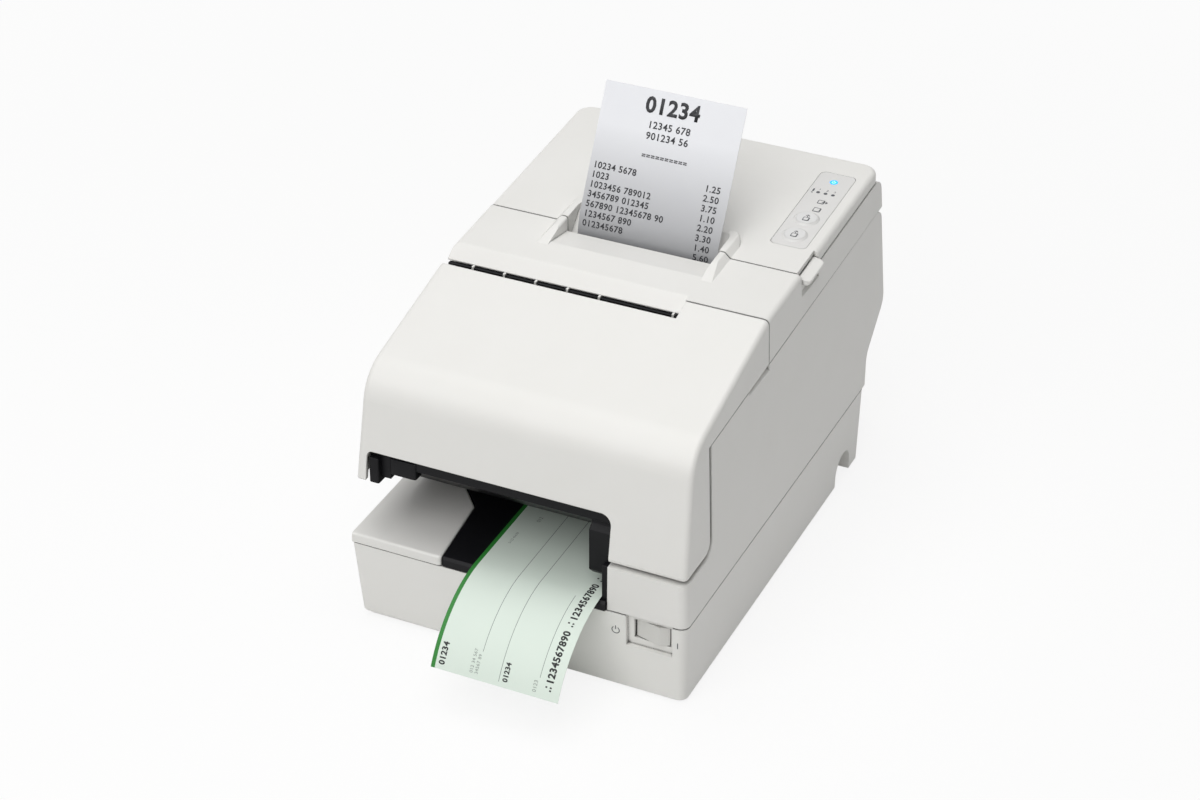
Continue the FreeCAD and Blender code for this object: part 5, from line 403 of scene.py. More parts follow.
# Black ABS of the paper path, satin mould: hardly any glare, slow patches where paper has rubbed.
BLACK_ABS = Finish("abs_black_satin", "#0D0D0F", "#141417", 0.42, patch_mm=14.0, grain_mm=0.5,
                   relief_mm=0.004, sockets=(("Specular IOR Level", 0.16),))
# Panel overlay, coated polyester film: fine matt, a shade darker than the case.
PANEL_FILM = Finish("polyester_film_matt", "#DAD9D7", "#D6D5D3", 0.42, grain_mm=0.4, relief_mm=0.002,
                    edge_mm=0.2)
# Button caps under the same film, a little whiter where they are domed.
BUTTON_FILM = Finish("polyester_film_domed", "#DCDBDA", "#D8D8D7", 0.36, grain_mm=0.4, relief_mm=0.002,
                     edge_mm=0.5)
# Ground rubber and moulded rubber: matt, powdery.
RUBBER = Finish("rubber_ground_matt", "#232324", "#2D2D2F", 0.82, grain_mm=0.5, relief_mm=0.02, edge_mm=0.2)
# Zinc-plated sheet steel: rolled lines and a slow bluish to straw change.
SHEET_STEEL = Finish("steel_zinc_plated_rolled", "#B6B8BB", "#A7A69F", 0.34, patch_mm=18.0, grain_mm=0.5,
                     relief_mm=0.002, metallic=1.0, edge_mm=0.15, grain=Grain.ROLLED_X)
# Ground shafts and blades: bright, with rings left by the wheel.
BRIGHT_STEEL = Finish("steel_ground_bright", "#D2D2D2", "#C4C4C6", 0.2, grain_mm=0.4, relief_mm=0.001,
                      rough_span=0.06, metallic=1.0, edge_mm=0.1, grain=Grain.TURNED)
# Motor cans: drawn steel with a dull grey plating.
MOTOR_CAN = Finish("steel_drawn_nickel_plated", "#8F9092", "#7E7F82", 0.38, grain_mm=0.6, relief_mm=0.002,
                   metallic=1.0, edge_mm=0.3)
# Acetal gears: waxy white.
ACETAL = Finish("acetal_natural_moulded", "#E6E4DB", "#DEDCD2", 0.4, grain_mm=0.5, relief_mm=0.002,
                edge_mm=0.08, sockets=(("Subsurface Weight", 0.08),))
# Sintered bronze bushes: brown, open-grained.
BRONZE = Finish("bronze_sintered", "#8A6A3F", "#7A5B35", 0.5, grain_mm=0.4, relief_mm=0.01, metallic=1.0,
                edge_mm=0.15)
# Thermal head, glazed alumina: tan and glassy.
ALUMINA = Finish("alumina_glazed", "#B9AFA0", "#A89D8E", 0.18, grain_mm=0.8, relief_mm=0.001, edge_mm=0.1)
# Heat sink, extruded aluminium: pale, with die lines along it.
SINK = Finish("aluminium_extruded", "#C2C5C8", "#B4B7BA", 0.36, grain_mm=0.5, relief_mm=0.003, metallic=1.0,
              edge_mm=0.15, grain=Grain.ROLLED_X)
# Circuit boards, screened solder mask on glass epoxy: deep green, paler where it covers copper lanes.
BOARD = BoardMask("glass_epoxy_solder_mask", "#1F6B43", "#1A6039", 0.36, grain_mm=0.5, relief_mm=0.004)
# Thermal paper: bluish white, calendered smooth, faint fibres, and painted shade that greys it towards the
# exit.
THERMAL_PAPER = PaintedShadePaper("thermal_paper_calendered", "#E8E9EC", "#E4E5E9", 0.55, grain_mm=0.9,
                           relief_mm=0.004, edge_mm=0.02)
# Core, wound greyboard: dull and fibrous.
CORE_BOARD = Finish("greyboard_wound", "#A89F92", "#9A9083", 0.85, grain_mm=1.0, relief_mm=0.02, edge_mm=0.1)
# Print, a film too thin to show an edge: burnt-in thermal black, offset grey and black, the lamp's pale sign,
# and the slate that is pad-printed on the plastics.
PRINTED = {"relief_mm": 0.001, "edge_mm": 0.01}
THERMAL_INK = Finish("thermal_print_black", "#1E1F22", "#2A2B2F", 0.6, patch_mm=6.0, **PRINTED)
OFFSET_INK = Finish("offset_print_grey", "#8A928D", "#949C97", 0.6, patch_mm=6.0, **PRINTED)
FIGURE_INK = Finish("offset_print_black", "#17191A", "#222425", 0.6, patch_mm=6.0, **PRINTED)
LAMP_INK = Finish("screen_print_pale", "#C9F4FF", "#C2F0FF", 0.4, sockets=(("Emission Strength", 0.35),),
                  **PRINTED)
PAD_INK = Finish("pad_print_slate", "#4B4E53", "#45484D", 0.45, patch_mm=8.0, **PRINTED)


def grid_faces(rows: int, columns: int, start: int = 0, flip: bool = False,
               closed: bool = False) -> np.ndarray:
    """Numbers the quads of a grid of points.

    Args:
        rows: points along the first direction.
        columns: points along the second direction.
        start: number of the first point.
        flip: turns the faces over.
        closed: joins the last column to the first.
    Returns:
        The quads, one row of four point numbers each.
    """
    index = np.arange(rows * columns).reshape(rows, columns) + start
    if closed:
        index = np.concatenate([index, index[:, :1]], axis=1)
    corners = [index[:-1, :-1], index[1:, :-1], index[1:, 1:], index[:-1, 1:]]
    quads = np.stack(corners, axis=-1).reshape(-1, 4)
    return quads[:, ::-1] if flip else quads


def tube_faces(rows: int, columns: int, flip: bool = False) -> list[np.ndarray]:
    """Numbers the faces of a tube of closed rings with a face on each end.

    Args:
        rows: the number of rings.
        columns: points of each ring.
        flip: turns the faces over.
    Returns:
        The walls' quads and the two end faces.
    """
    near = np.arange(columns)[::-1 if flip else 1]
    far = (near + (rows - 1) * columns)[::-1]
    return [*grid_faces(rows, columns, flip=flip, closed=True), near, far]


def round_over(radius: float, count: int = 6) -> tuple[np.ndarray, np.ndarray]:
    """A quarter circle at the foot of a wall: r (1 - sin a) inwards and r (1 - cos a) up.

    Args:
        radius: the rounding in millimetres.
        count: its points.
    Returns:
        Inset and rise of each point, from the foot's flat to the wall.
    """
    turn = np.linspace(0, math.pi / 2, count)
    return radius * (1 - np.sin(turn)), radius * (1 - np.cos(turn))


def box_mm(node: str) -> tuple[np.ndarray, np.ndarray]:
    """Gives a node's lowest and highest corners in millimetres."""
    low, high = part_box(node)
    return np.array(low) / MM, np.array(high) / MM


def make_piece(name: str, points: np.ndarray, faces: Iterable[Sequence[int]], finish: Finish, body: str,
               uv: np.ndarray | None = None) -> bpy.types.Object:
    """Makes a piece at its place and lets it ride on a body.

    Args:
        name: the piece's name.
        points: its points in metres.
        faces: point numbers of each face.
        finish: its finish.
        body: the body that it moves with.
        uv: a millimetre place on the sheet for each point.
    Returns:
        The new object.
    """
    mesh = bpy.data.meshes.new(name)
    mesh.from_pydata(points.tolist(), [], [list(map(int, f)) for f in faces])
    mesh.validate()
    mesh.polygons.foreach_set("use_smooth", np.ones(len(mesh.polygons), bool))
    mesh.set_sharp_from_angle(angle=CREASE)
    if uv is not None:
        corner = np.empty(len(mesh.loops), np.int32)
        mesh.loops.foreach_get("vertex_index", corner)
        layer = mesh.uv_layers.new(name="UVMap")
        layer.data.foreach_set("uv", uv[corner].astype(np.float32).ravel())
    mesh.update()
    made = bpy.data.objects.new(name, mesh)
    made.data.materials.append(finish.material())
    bpy.context.scene.collection.objects.link(made)
    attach(made, body)
    log.info("%s: %d points on %s", name, len(points), body)
    return made


def hit(node: str, start: Sequence[float], way: Sequence[float]) -> tuple[np.ndarray, np.ndarray]:
    """Finds where a line first meets a node.

    Args:
        node: the node's name.
        start: the line's start in metres.
        way: the line's direction.
    Returns:
        The point met and the face's direction there.
    """
    found, point, normal, _ = frame["nodes"][node].ray_cast(Vector(start), Vector(way).normalized())
    if not found:
        raise ValueError(f"the line from {tuple(start)} misses {node}")
    return np.array(point), np.array(normal)


def flat_place(origin: np.ndarray, normal: np.ndarray) -> Place:
    """A plane's own drawing board, with its first coordinate to the right.

    Args:
        origin: the board's zero point in metres.
        normal: the plane's direction.
    Returns:
        A function that puts millimetre points on the plane at a height above it.
    """
    up = np.cross(normal, RIGHT)
    up /= np.linalg.norm(up)
    across = np.cross(up, normal)

    def put(points: np.ndarray, lift: float | np.ndarray) -> np.ndarray:
        """origin + u across + v up + lift out of the plane."""
        return origin + MM * (points[:, :1] * across + points[:, 1:2] * up + lift * normal)

    return put


def board_on(node: str, start: Sequence[float], way: Sequence[float]) -> Place:
    """The drawing board on a node where a line meets it.

    Args:
        node: the node's name.
        start: the line's start in metres.
        way: the line's direction.
    Returns:
        The board, with its zero point where they meet.
    """
    point, normal = hit(node, start, way)
    return flat_place(point, normal)


@dataclass
class Ink:
    """Flat print in millimetres, gathered shape by shape and then laid on a surface."""

    step: float = 1.5
    arc_points: int = 33
    curve_steps: int = 3
    spacing: float = 1.08
    film_share: float = 0.6
    points: list[np.ndarray] = field(default_factory=list)
    faces: list[list[int]] = field(default_factory=list)
    count: int = 0

    def _keep(self, points: np.ndarray, faces: Iterable[Sequence[int]]) -> None:
        """Adds points and the faces that number them.

        Args:
            points: places in millimetres.
            faces: point numbers of each face, from 0.
        """
        self.faces += [[int(i) + self.count for i in face] for face in faces]
        self.points.append(points)
        self.count += len(points)

    def patch(self, shape: Callable[[np.ndarray, np.ndarray], np.ndarray], rows: int, columns: int) -> None:
        """Adds a surface that is a function of two parameters from 0 to 1.

        Args:
            shape: gives points for arrays of the two parameters.
            rows: points along the first parameter.
            columns: points along the second.
        """
        a, b = np.meshgrid(np.linspace(0, 1, rows), np.linspace(0, 1, columns), indexing="ij")
        points = shape(a.ravel(), b.ravel())
        quads = grid_faces(rows, columns)
        first = points[quads[0]]
        turn = np.cross(first[1] - first[0], first[2] - first[0])
        self._keep(points, quads if turn > 0 else quads[:, ::-1])

    def bar(self, left: float, low: float, right: float, high: float) -> None:
        """Adds a rectangle, cut fine enough to follow a bend: left + a wide, low + b tall.

        Args:
            left: its first coordinate.
            low: its second coordinate.
            right: the first coordinate of its far corner.
            high: the second coordinate of its far corner.
        """
        wide, tall = right - left, high - low
        rows = max(2, math.ceil(abs(wide) / self.step) + 1)
        columns = max(2, math.ceil(abs(tall) / self.step) + 1)
        self.patch(lambda a, b: np.stack([left + a * wide, low + b * tall], 1), rows, columns)

    def line(self, start: Sequence[float], end: Sequence[float], wide: float) -> None:
        """Adds a straight stroke: start + a (end - start), moved sideways by up to half the width.

        Args:
            start: its first end.
            end: its other end.
            wide: its width.
        """
        p, q = np.array(start, float), np.array(end, float)
        way = (q - p) / np.linalg.norm(q - p)
        side = np.array([-way[1], way[0]]) * wide / 2
        rows = max(2, math.ceil(np.linalg.norm(q - p) / self.step) + 1)
        self.patch(lambda a, b: p + a[:, None] * (q - p) + (2 * b[:, None] - 1) * side, rows, 2)

    def arc(self, centre: Sequence[float], radius: float, wide: float, start: float, end: float) -> None:
        """Adds a round stroke: centre plus a radius, turned from one angle to the other.

        Args:
            centre: the round's middle.
            radius: the radius of the stroke's middle line.
            wide: the stroke's width.
            start: its first angle in degrees.
            end: its last angle.
        """
        middle, low, high = np.array(centre, float), math.radians(start), math.radians(end)

        def ring(a: np.ndarray, b: np.ndarray) -> np.ndarray:
            """Points at share a of the turn and share b of the width."""
            turn = low + a * (high - low)
            return middle + (radius + (b[:, None] - 0.5) * wide) * np.stack([np.cos(turn), np.sin(turn)], 1)

        self.patch(ring, self.arc_points, 2)

    def numbers(self, text: str, place: Sequence[float], size: float, turn: float = 0.0,
                align: str = "LEFT", bold: float = 0.0, down: bool = False) -> None:
        """Adds plain figures.

        Args:
            text: the figures.
            place: their foot in millimetres.
            size: the type size in millimetres.
            turn: the line's angle in degrees.
            align: which end stands at the place.
            bold: how far each stroke is widened, as a share of the size.
            down: set where the second coordinate runs down the sheet.
        """
        curve = bpy.data.curves.new("figures", "FONT")
        curve.body, curve.size, curve.align_x, curve.resolution_u = text, size, align, self.curve_steps
        curve.offset, curve.space_character = bold * size, self.spacing
        holder = bpy.data.objects.new("figures", curve)
        bpy.context.scene.collection.objects.link(holder)
        mesh = bpy.data.meshes.new_from_object(holder.evaluated_get(bpy.context.evaluated_depsgraph_get()))
        flat = np.empty(len(mesh.vertices) * 3)
        mesh.vertices.foreach_get("co", flat)
        flat = flat.reshape(-1, 3)[:, :2] * np.array([1.0, -1.0 if down else 1.0])
        cos, sin = math.cos(math.radians(turn)), math.sin(math.radians(turn))
        turned = flat @ np.array([[cos, sin], [-sin, cos]]) + np.array(place, float)
        self._keep(turned, [list(p.vertices)[::-1 if down else 1] for p in mesh.polygons])
        bpy.data.objects.remove(holder)
        bpy.data.curves.remove(curve)
        bpy.data.meshes.remove(mesh)

    def lay(self, name: str, put: Place, finish: Finish, body: str, slot: str, lift: float = 0.03) -> None:
        """Lays the print on a surface as a film of its own thickness.

        Args:
            name: the piece's name.
            put: the surface's drawing board.
            finish: the ink.
            body: the body that it moves with.
            slot: the record's material slot; not used.
            lift: top of the film above the surface, in millimetres.
        """
        made = make_piece(name, put(np.concatenate(self.points), lift), self.faces, finish, body)
        film = made.modifiers.new("film", "SOLIDIFY")
        film.thickness, film.offset = lift * MM * self.film_share, -1.0


@dataclass
class Leaf:
    """A paper sheet: a line in the side view, carried across the sheet's width."""

    name: str
    node: str
    body: str
    slot: str
    finish: Finish
    left: float
    width: float
    thick: float
    path: np.ndarray
    columns: int = 9
    off_print: float = -50.0

    def __post_init__(self) -> None:
        """Measures the line, so that a place along it is a length."""
        step = np.linalg.norm(np.diff(self.path, axis=0), axis=1)
        self.run = np.concatenate([[0.0], np.cumsum(step)])
        slope = np.gradient(self.path, self.run, axis=0)
        slope /= np.linalg.norm(slope, axis=1)[:, None]
        self.out = np.stack([slope[:, 1], -slope[:, 0]], 1)

    def put(self, points: np.ndarray, lift: float) -> np.ndarray:
        """Puts sheet places on the printed side: u across, the line's point at length v, moved out by lift.

        Args:
            points: places in millimetres from the left edge and from the outer end.
            lift: height above the sheet in millimetres.
        Returns:
            Points in metres.
        """
        line = [np.interp(points[:, 1], self.run, self.path[:, k])
                + lift * np.interp(points[:, 1], self.run, self.out[:, k]) for k in (0, 1)]
        return MM * np.stack([self.left + points[:, 0], line[0], line[1]], 1)

    def build(self) -> None:
        """Makes the sheet for its node: a printed side, a back moved in by the thickness, and the four edges.

        The back lies off the print on the UV map.
        """
        rows, columns = len(self.run), self.columns
        v, u = np.meshgrid(self.run, np.linspace(0, self.width, columns), indexing="ij")
        flat = np.stack([u.ravel(), v.ravel()], 1)
        points = np.concatenate([self.put(flat, 0.0), self.put(flat, -self.thick)])
        n = rows * columns
        index = np.arange(n).reshape(rows, columns)
        rim = np.concatenate([index[0], index[1:, -1], index[-1, -2::-1], index[-2:0:-1, 0]])
        after = np.roll(rim, -1)
        edges = np.stack([rim, after, after + n, rim + n], 1)
        first = self.put(np.array([[0, 0], [1, 0], [0, 1]], float), 0.0)
        outward = np.cross(first[1] - first[0], first[2] - first[0])
        facing = float(outward[1] * self.out[0, 0] + outward[2] * self.out[0, 1]) > 0
        front, back = grid_faces(rows, columns, 0, facing), grid_faces(rows, columns, n, not facing)
        faces = [*front, *back, *(edges[:, ::-1] if facing else edges)]
        uv = np.concatenate([flat, np.full_like(flat, self.off_print)])
        made = make_piece(self.name, points, faces, self.finish, self.body, uv)
        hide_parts(self.node)


def bent_line(points: Sequence[Sequence[float]], radius: float, step: float,
              most: float = 0.98) -> np.ndarray:
    """A line of straight, arc, straight: the corner of three points rounded by a tangent arc.

    Args:
        points: start, corner and end in millimetres.
        radius: the arc's radius.
        step: spacing of the points along the arc and the runs.
        most: the largest share of a run that the arc may take.
    Returns:
        Points along the line.
    """
    start, corner, end = (np.array(p, float) for p in points)
    first, last = start - corner, end - corner
    a, b = first / np.linalg.norm(first), last / np.linalg.norm(last)
    half = math.acos(float(np.clip(a @ b, -1, 1))) / 2
    reach = min(radius / math.tan(half), np.linalg.norm(first) * most, np.linalg.norm(last) * most)
    radius = reach * math.tan(half)
    middle = corner + (a + b) / np.linalg.norm(a + b) * radius / math.sin(half)
    rim = [corner + a * reach - middle, corner + b * reach - middle]
    span = math.pi - 2 * half
    share = np.linspace(0, 1, max(3, int(radius * span / step) + 1))[:, None]
    arc = middle + (np.sin((1 - share) * span) * rim[0] + np.sin(share * span) * rim[1]) / math.sin(span)

    def run(p: np.ndarray, q: np.ndarray) -> np.ndarray:
        """Points from p up to q, without q."""
        n = max(1, int(np.linalg.norm(q - p) / step))
        return p + np.linspace(0, 1, n, endpoint=False)[:, None] * (q - p)

    return np.concatenate([run(start, arc[0]), arc[:-1], run(arc[-1], end), end[None]])


@dataclass
class Receipt:
    """The printed strip that stands out of the exit slot, leaning back.

    A heading is its figures, foot, size and boldness, and a row is an item and its amount.
    """

    bend_rise: float = 9.2
    bend_radius: float = 36.0
    path_step: float = 2.0
    thick: float = 0.3
    left_margin: float = 2.2
    right_margin: float = 5.0
    figure: float = 4.8
    bold: float = 0.014
    first_row: float = 46.0
    line_pitch: float = 5.2
    rule_row: float = 33.8
    rule_half: float = 12.0
    rule_drops: tuple[float, ...] = (0.0, 0.9)
    dash: tuple[float, float] = (2.0, 0.5)
    dash_pitch: float = 2.6
    print_lift: float = 0.08
    heading: tuple[tuple[str, float, float, float], ...] = (
        ("01234", 12.0, 11.5, 0.03), ("12345 678", 20.0, 5.2, 0.014), ("901234 56", 25.8, 5.2, 0.014))
    rows: tuple[tuple[str, str], ...] = (
        ("10234 5678", "1.25"), ("1023", "2.50"), ("1023456 789012", "3.75"), ("3456789 012345", "1.10"),
        ("567890 12345678 90", "2.20"), ("1234567 890", "3.30"), ("012345678", "1.40"), ("", "5.60"))

    def build(self) -> None:
        """Makes the strip and its print."""
        low, high = box_mm("receipt_paper")
        foot = low[1]
        lean = high[1] - low[1] - self.thick
        path = bent_line([(foot + lean, high[2]), (foot, low[2] + self.bend_rise), (foot, low[2])],
                         self.bend_radius, self.path_step)
        leaf = Leaf("receipt_strip", "receipt_paper", "roll_lid", "paper", THERMAL_PAPER,
                    low[0], high[0] - low[0], self.thick, path)
        leaf.out *= np.where(leaf.out[:, :1] > 0, -1.0, 1.0)
        leaf.build()
        self.print_on(leaf)

    def print_on(self, leaf: Leaf) -> None:
        """Prints a heading, two short rows, a broken rule, and rows of figures with amounts at the right.

        Args:
            leaf: the strip.
        """
        ink = Ink()
        middle = leaf.width / 2
        wide, thick = self.dash
        for text, foot, size, bold in self.heading:
            ink.numbers(text, (middle, foot), size, align="CENTER", bold=bold, down=True)
        for place in np.arange(middle - self.rule_half, middle + self.rule_half, self.dash_pitch):
            for drop in self.rule_drops:
                row = self.rule_row + drop
                ink.bar(float(place), row, float(place) + wide, row + thick)
        for number, (item, amount) in enumerate(self.rows):
            foot = self.first_row + number * self.line_pitch
            if item:
                ink.numbers(item, (self.left_margin, foot), self.figure, bold=self.bold, down=True)
            ink.numbers(amount, (leaf.width - self.right_margin, foot), self.figure, align="RIGHT",
                        bold=self.bold, down=True)
        ink.lay("receipt_print", leaf.put, THERMAL_INK, "roll_lid", "paper", self.print_lift)


@dataclass
class SlipForm:
    """The form in the slip throat: flat on the bed, then hanging over the front in an arc.

    A rule is its left, right, start and end. Figures are given with their foot, start and size, and a mark is
    three small bars, each by its two corners, from the start of the mark's row.
    """

    edge_set: float = 3.5
    thick: float = 0.3
    stripe: float = 2.2
    arc_points: int = 33
    flat_points: int = 41
    upright: float = 90.0
    bold: float = 0.036
    print_lift: float = 0.06
    rules: tuple[tuple[float, float, float, float], ...] = (
        (25.2, 25.5, 14.5, 120.0), (37.0, 37.3, 2.4, 120.0), (57.8, 58.1, 10.0, 58.0))
    grey_figures: tuple[tuple[str, float, float, float], ...] = (
        ("012 34 567", 22.6, 2.8, 2.5), ("34567 89", 25.4, 2.8, 2.5), ("0123", 57.4, 2.4, 2.9),
        ("0123 45678", 9.0, 84.0, 2.0), ("012", 14.4, 107.0, 2.9))
    black_figures: tuple[tuple[str, float, float, float], ...] = (
        ("01234", 6.9, 2.6, 4.4), ("01234", 41.6, 3.0, 3.7), ("1234567890", 65.4, 8.2, 5.2),
        ("1234567890", 65.4, 42.6, 5.2))
    mark_rows: tuple[float, ...] = (4.6, 38.8, 73.6)
    mark_bars: tuple[tuple[float, float, float, float], ...] = (
        (64.2, 0.0, 65.2, 0.8), (64.2, 1.5, 65.2, 2.3), (61.8, 1.5, 62.8, 2.3))

    def build(self) -> None:
        """Makes the sheet with its stripe and rules, and prints it.

        Its line is an arc that leaves the bed level and ends at the sheet's lowest edge, and a flat run.
        """
        low, high = box_mm("slip_form")
        edge = box_mm("slip_bed")[0][1] + self.edge_set
        hang, drop = edge - low[1], high[2] - low[2] - self.thick
        radius = (hang * hang + drop * drop) / (2 * drop)
        angle = np.linspace(math.asin(hang / radius), 0, self.arc_points)
        arc = np.stack([edge - radius * np.sin(angle), high[2] - radius * (1 - np.cos(angle))], 1)
        along = np.linspace(edge, high[1], self.flat_points + 1)[1:]
        flat = np.stack([along, np.full(self.flat_points, high[2])], 1)
        # Wood-free paper, offset-printed: pale green and matt, with a deep green edge and grey hairlines.
        paper = StripedPaper("form_paper_offset_printed", "#DDE8DE", "#D8E4DA", 0.6, grain_mm=0.9,
                             relief_mm=0.005, edge_mm=0.02, stripe_mm=self.stripe, rules=self.rules)
        leaf = Leaf("printed_form", "slip_form", "form", "form_paper", paper,
                    low[0], high[0] - low[0], self.thick, np.concatenate([arc, flat]))
        leaf.out *= np.where(leaf.out[:, 1:] < 0, -1.0, 1.0)
        leaf.build()
        self.print_on(leaf)

    def print_on(self, leaf: Leaf) -> None:
        """Prints small grey figures and a bold row along the right edge, all reading inwards.

        Args:
            leaf: the sheet.
        """
        grey, black = Ink(), Ink()
        for text, foot, start, size in self.grey_figures:
            grey.numbers(text, (foot, start), size, self.upright)
        for text, foot, start, size in self.black_figures:
            black.numbers(text, (foot, start), size, self.upright, bold=self.bold)
        for start in self.mark_rows:
            for left, low, right, high in self.mark_bars:
                black.bar(left, start + low, right, start + high)
        grey.lay("form_print", leaf.put, OFFSET_INK, "form", "form_paper", self.print_lift)
        black.lay("form_figures", leaf.put, FIGURE_INK, "form", "form_paper", self.print_lift)


@dataclass
class GuideBlocks:
    """Black blocks of the slip guide: the post right of the throat, the left leg and the lobe beside it."""

    edge: float = 0.6
    square: float = 9.0
    around: int = 64
    blocks: tuple[tuple[str, tuple[float, float, float], tuple[float, float, float]], ...] = (
        ("throat_post", (132.15, -5.15, -2.85), (135.35, -0.65, 17.75)),
        ("guide_leg", (0.2, -1.05, 26.85), (5.9, 11.5, 41.85)),
        ("guide_lobe", (10.8, 1.35, 32.95), (25.9, 10.55, 42.55)),
    )

    def build(self) -> None:
        """Places each block by its two corners, measured from the slip guide's lowest corner."""
        corner, _ = box_mm("upper_slip_guide")
        for name, low, high in self.blocks:
            self.block(name, corner + low, corner + high)

    def block(self, name: str, low: np.ndarray, high: np.ndarray) -> None:
        """Makes one block: an oblong carried upwards and drawn in at both ends by a quarter circle.

        Each ring is |x/a|^n + |y/b|^n = 1, where a and b are the half sides less the draw-in at its height.

        Args:
            name: the piece's name.
            low: its lowest corner in millimetres.
            high: its highest corner.
        """
        turn = np.linspace(0, 2 * math.pi, self.around, endpoint=False)
        ring = np.stack([np.cos(turn), np.sin(turn)], 1)
        ring = np.sign(ring) * np.abs(ring) ** (2 / self.square)
        inset, lifted = round_over(self.edge)
        drawn = np.concatenate([inset, lifted])
        rise = np.concatenate([low[2] + lifted, high[2] - inset])
        middle, half = (low + high)[:2] / 2, (high - low)[:2] / 2
        level = middle + (half - drawn[:, None, None]) * ring
        upright = np.broadcast_to(rise[:, None, None], (*level.shape[:2], 1))
        points = np.concatenate([level, upright], 2).reshape(-1, 3)
        make_piece(name, points * MM, tube_faces(len(rise), self.around, flip=True), BLACK_ABS, "base")


@dataclass
class BaseApron:
    """The base's front under the slip table: flush with the table, it runs out into the case at the right.

    The drafts are the lower case's own: how far its walls lean in for their height.
    """

    side_set: float = 0.04
    front_set: float = 0.2
    start_back: float = 15.0
    corner: float = 1.6
    path_step: float = 1.0
    fade_from: float = -25.0
    fade_to: float = 46.0
    fade_depth: float = 1.95
    seam: float = 0.6
    foot: float = 2.0
    deep: float = 3.6
    top_edge: float = 0.35
    low_edge: float = 3.4
    side_draft: float = 3.5 / 45
    front_draft: float = 2.0 / 45

    def build(self) -> None:
        """Carries a closed wall section along a line round the left corner and across the front.

        A point is the line's, moved in by the section's inset, and moved in again by each side's draft, which
        grows downwards. The front line bends back by half a cosine wave towards its right end.
        """
        low, _ = box_mm("slip_table")
        left, front = low[0] + self.side_set, low[1] + self.front_set
        turns = [(left, front + self.start_back), (left, front), (self.fade_to, front)]
        line = bent_line(turns, self.corner, self.path_step)
        share = np.clip((line[:, 0] - self.fade_from) / (self.fade_to - self.fade_from), 0, 1)
        line[:, 1] += self.fade_depth * (1 - np.cos(math.pi * share)) / 2
        slope = np.gradient(line, axis=0)
        slope /= np.linalg.norm(slope, axis=1)[:, None]
        inward = np.stack([-slope[:, 1], slope[:, 0]], 1)
        inset, rise = self.section(low[2] - self.seam)
        fall = low[2] - rise
        leaning = np.clip((self.fade_to - line[:, 0]) / (self.fade_to - left), 0, 1)
        x = line[:, :1] + inward[:, :1] * inset + self.side_draft * leaning[:, None] * fall
        y = line[:, 1:] + inward[:, 1:] * inset + self.front_draft * fall
        points = np.stack([x, y, np.broadcast_to(rise, x.shape)], -1)
        make_piece("base_apron", points.reshape(-1, 3) * MM, tube_faces(*x.shape), CASE_ABS, "base")

    def section(self, top: float) -> tuple[np.ndarray, np.ndarray]:
        """The wall's closed section: rounded at the foot and at the top edge, flat behind.

        Args:
            top: the wall's top in millimetres.
        Returns:
            Inset and height of each of its points.
        """
        low_in, low_up = round_over(self.low_edge)
        top_down, top_in = round_over(self.top_edge)
        inset = np.concatenate([low_in, top_in, [self.deep, self.deep]])
        rise = np.concatenate([self.foot + low_up, top - top_down, [top, self.foot]])
        return inset, rise


@dataclass
class HeadSprings:
    """The coils behind the thermal head; the piece keeps their modelled length and does not shorten as the
    head gives way.
    """

    node: str = "head_springs"
    joint: str = "head_press"
    digits: int = 7

    def build(self) -> None:
        """Takes the coils' own points, merged where they meet, as a piece on the base, and hides the node."""
        coils = frame["nodes"][self.node].data
        flat, corner = np.empty(len(coils.vertices) * 3), np.empty(len(coils.loops), np.int32)
        coils.vertices.foreach_get("co", flat)
        coils.loops.foreach_get("vertex_index", corner)
        points, number = np.unique(flat.reshape(-1, 3).round(self.digits), axis=0, return_inverse=True)
        made = make_piece("head_coils", points, number.ravel()[corner].reshape(-1, 3), BRIGHT_STEEL, "base")
        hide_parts(self.node)
        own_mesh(made)


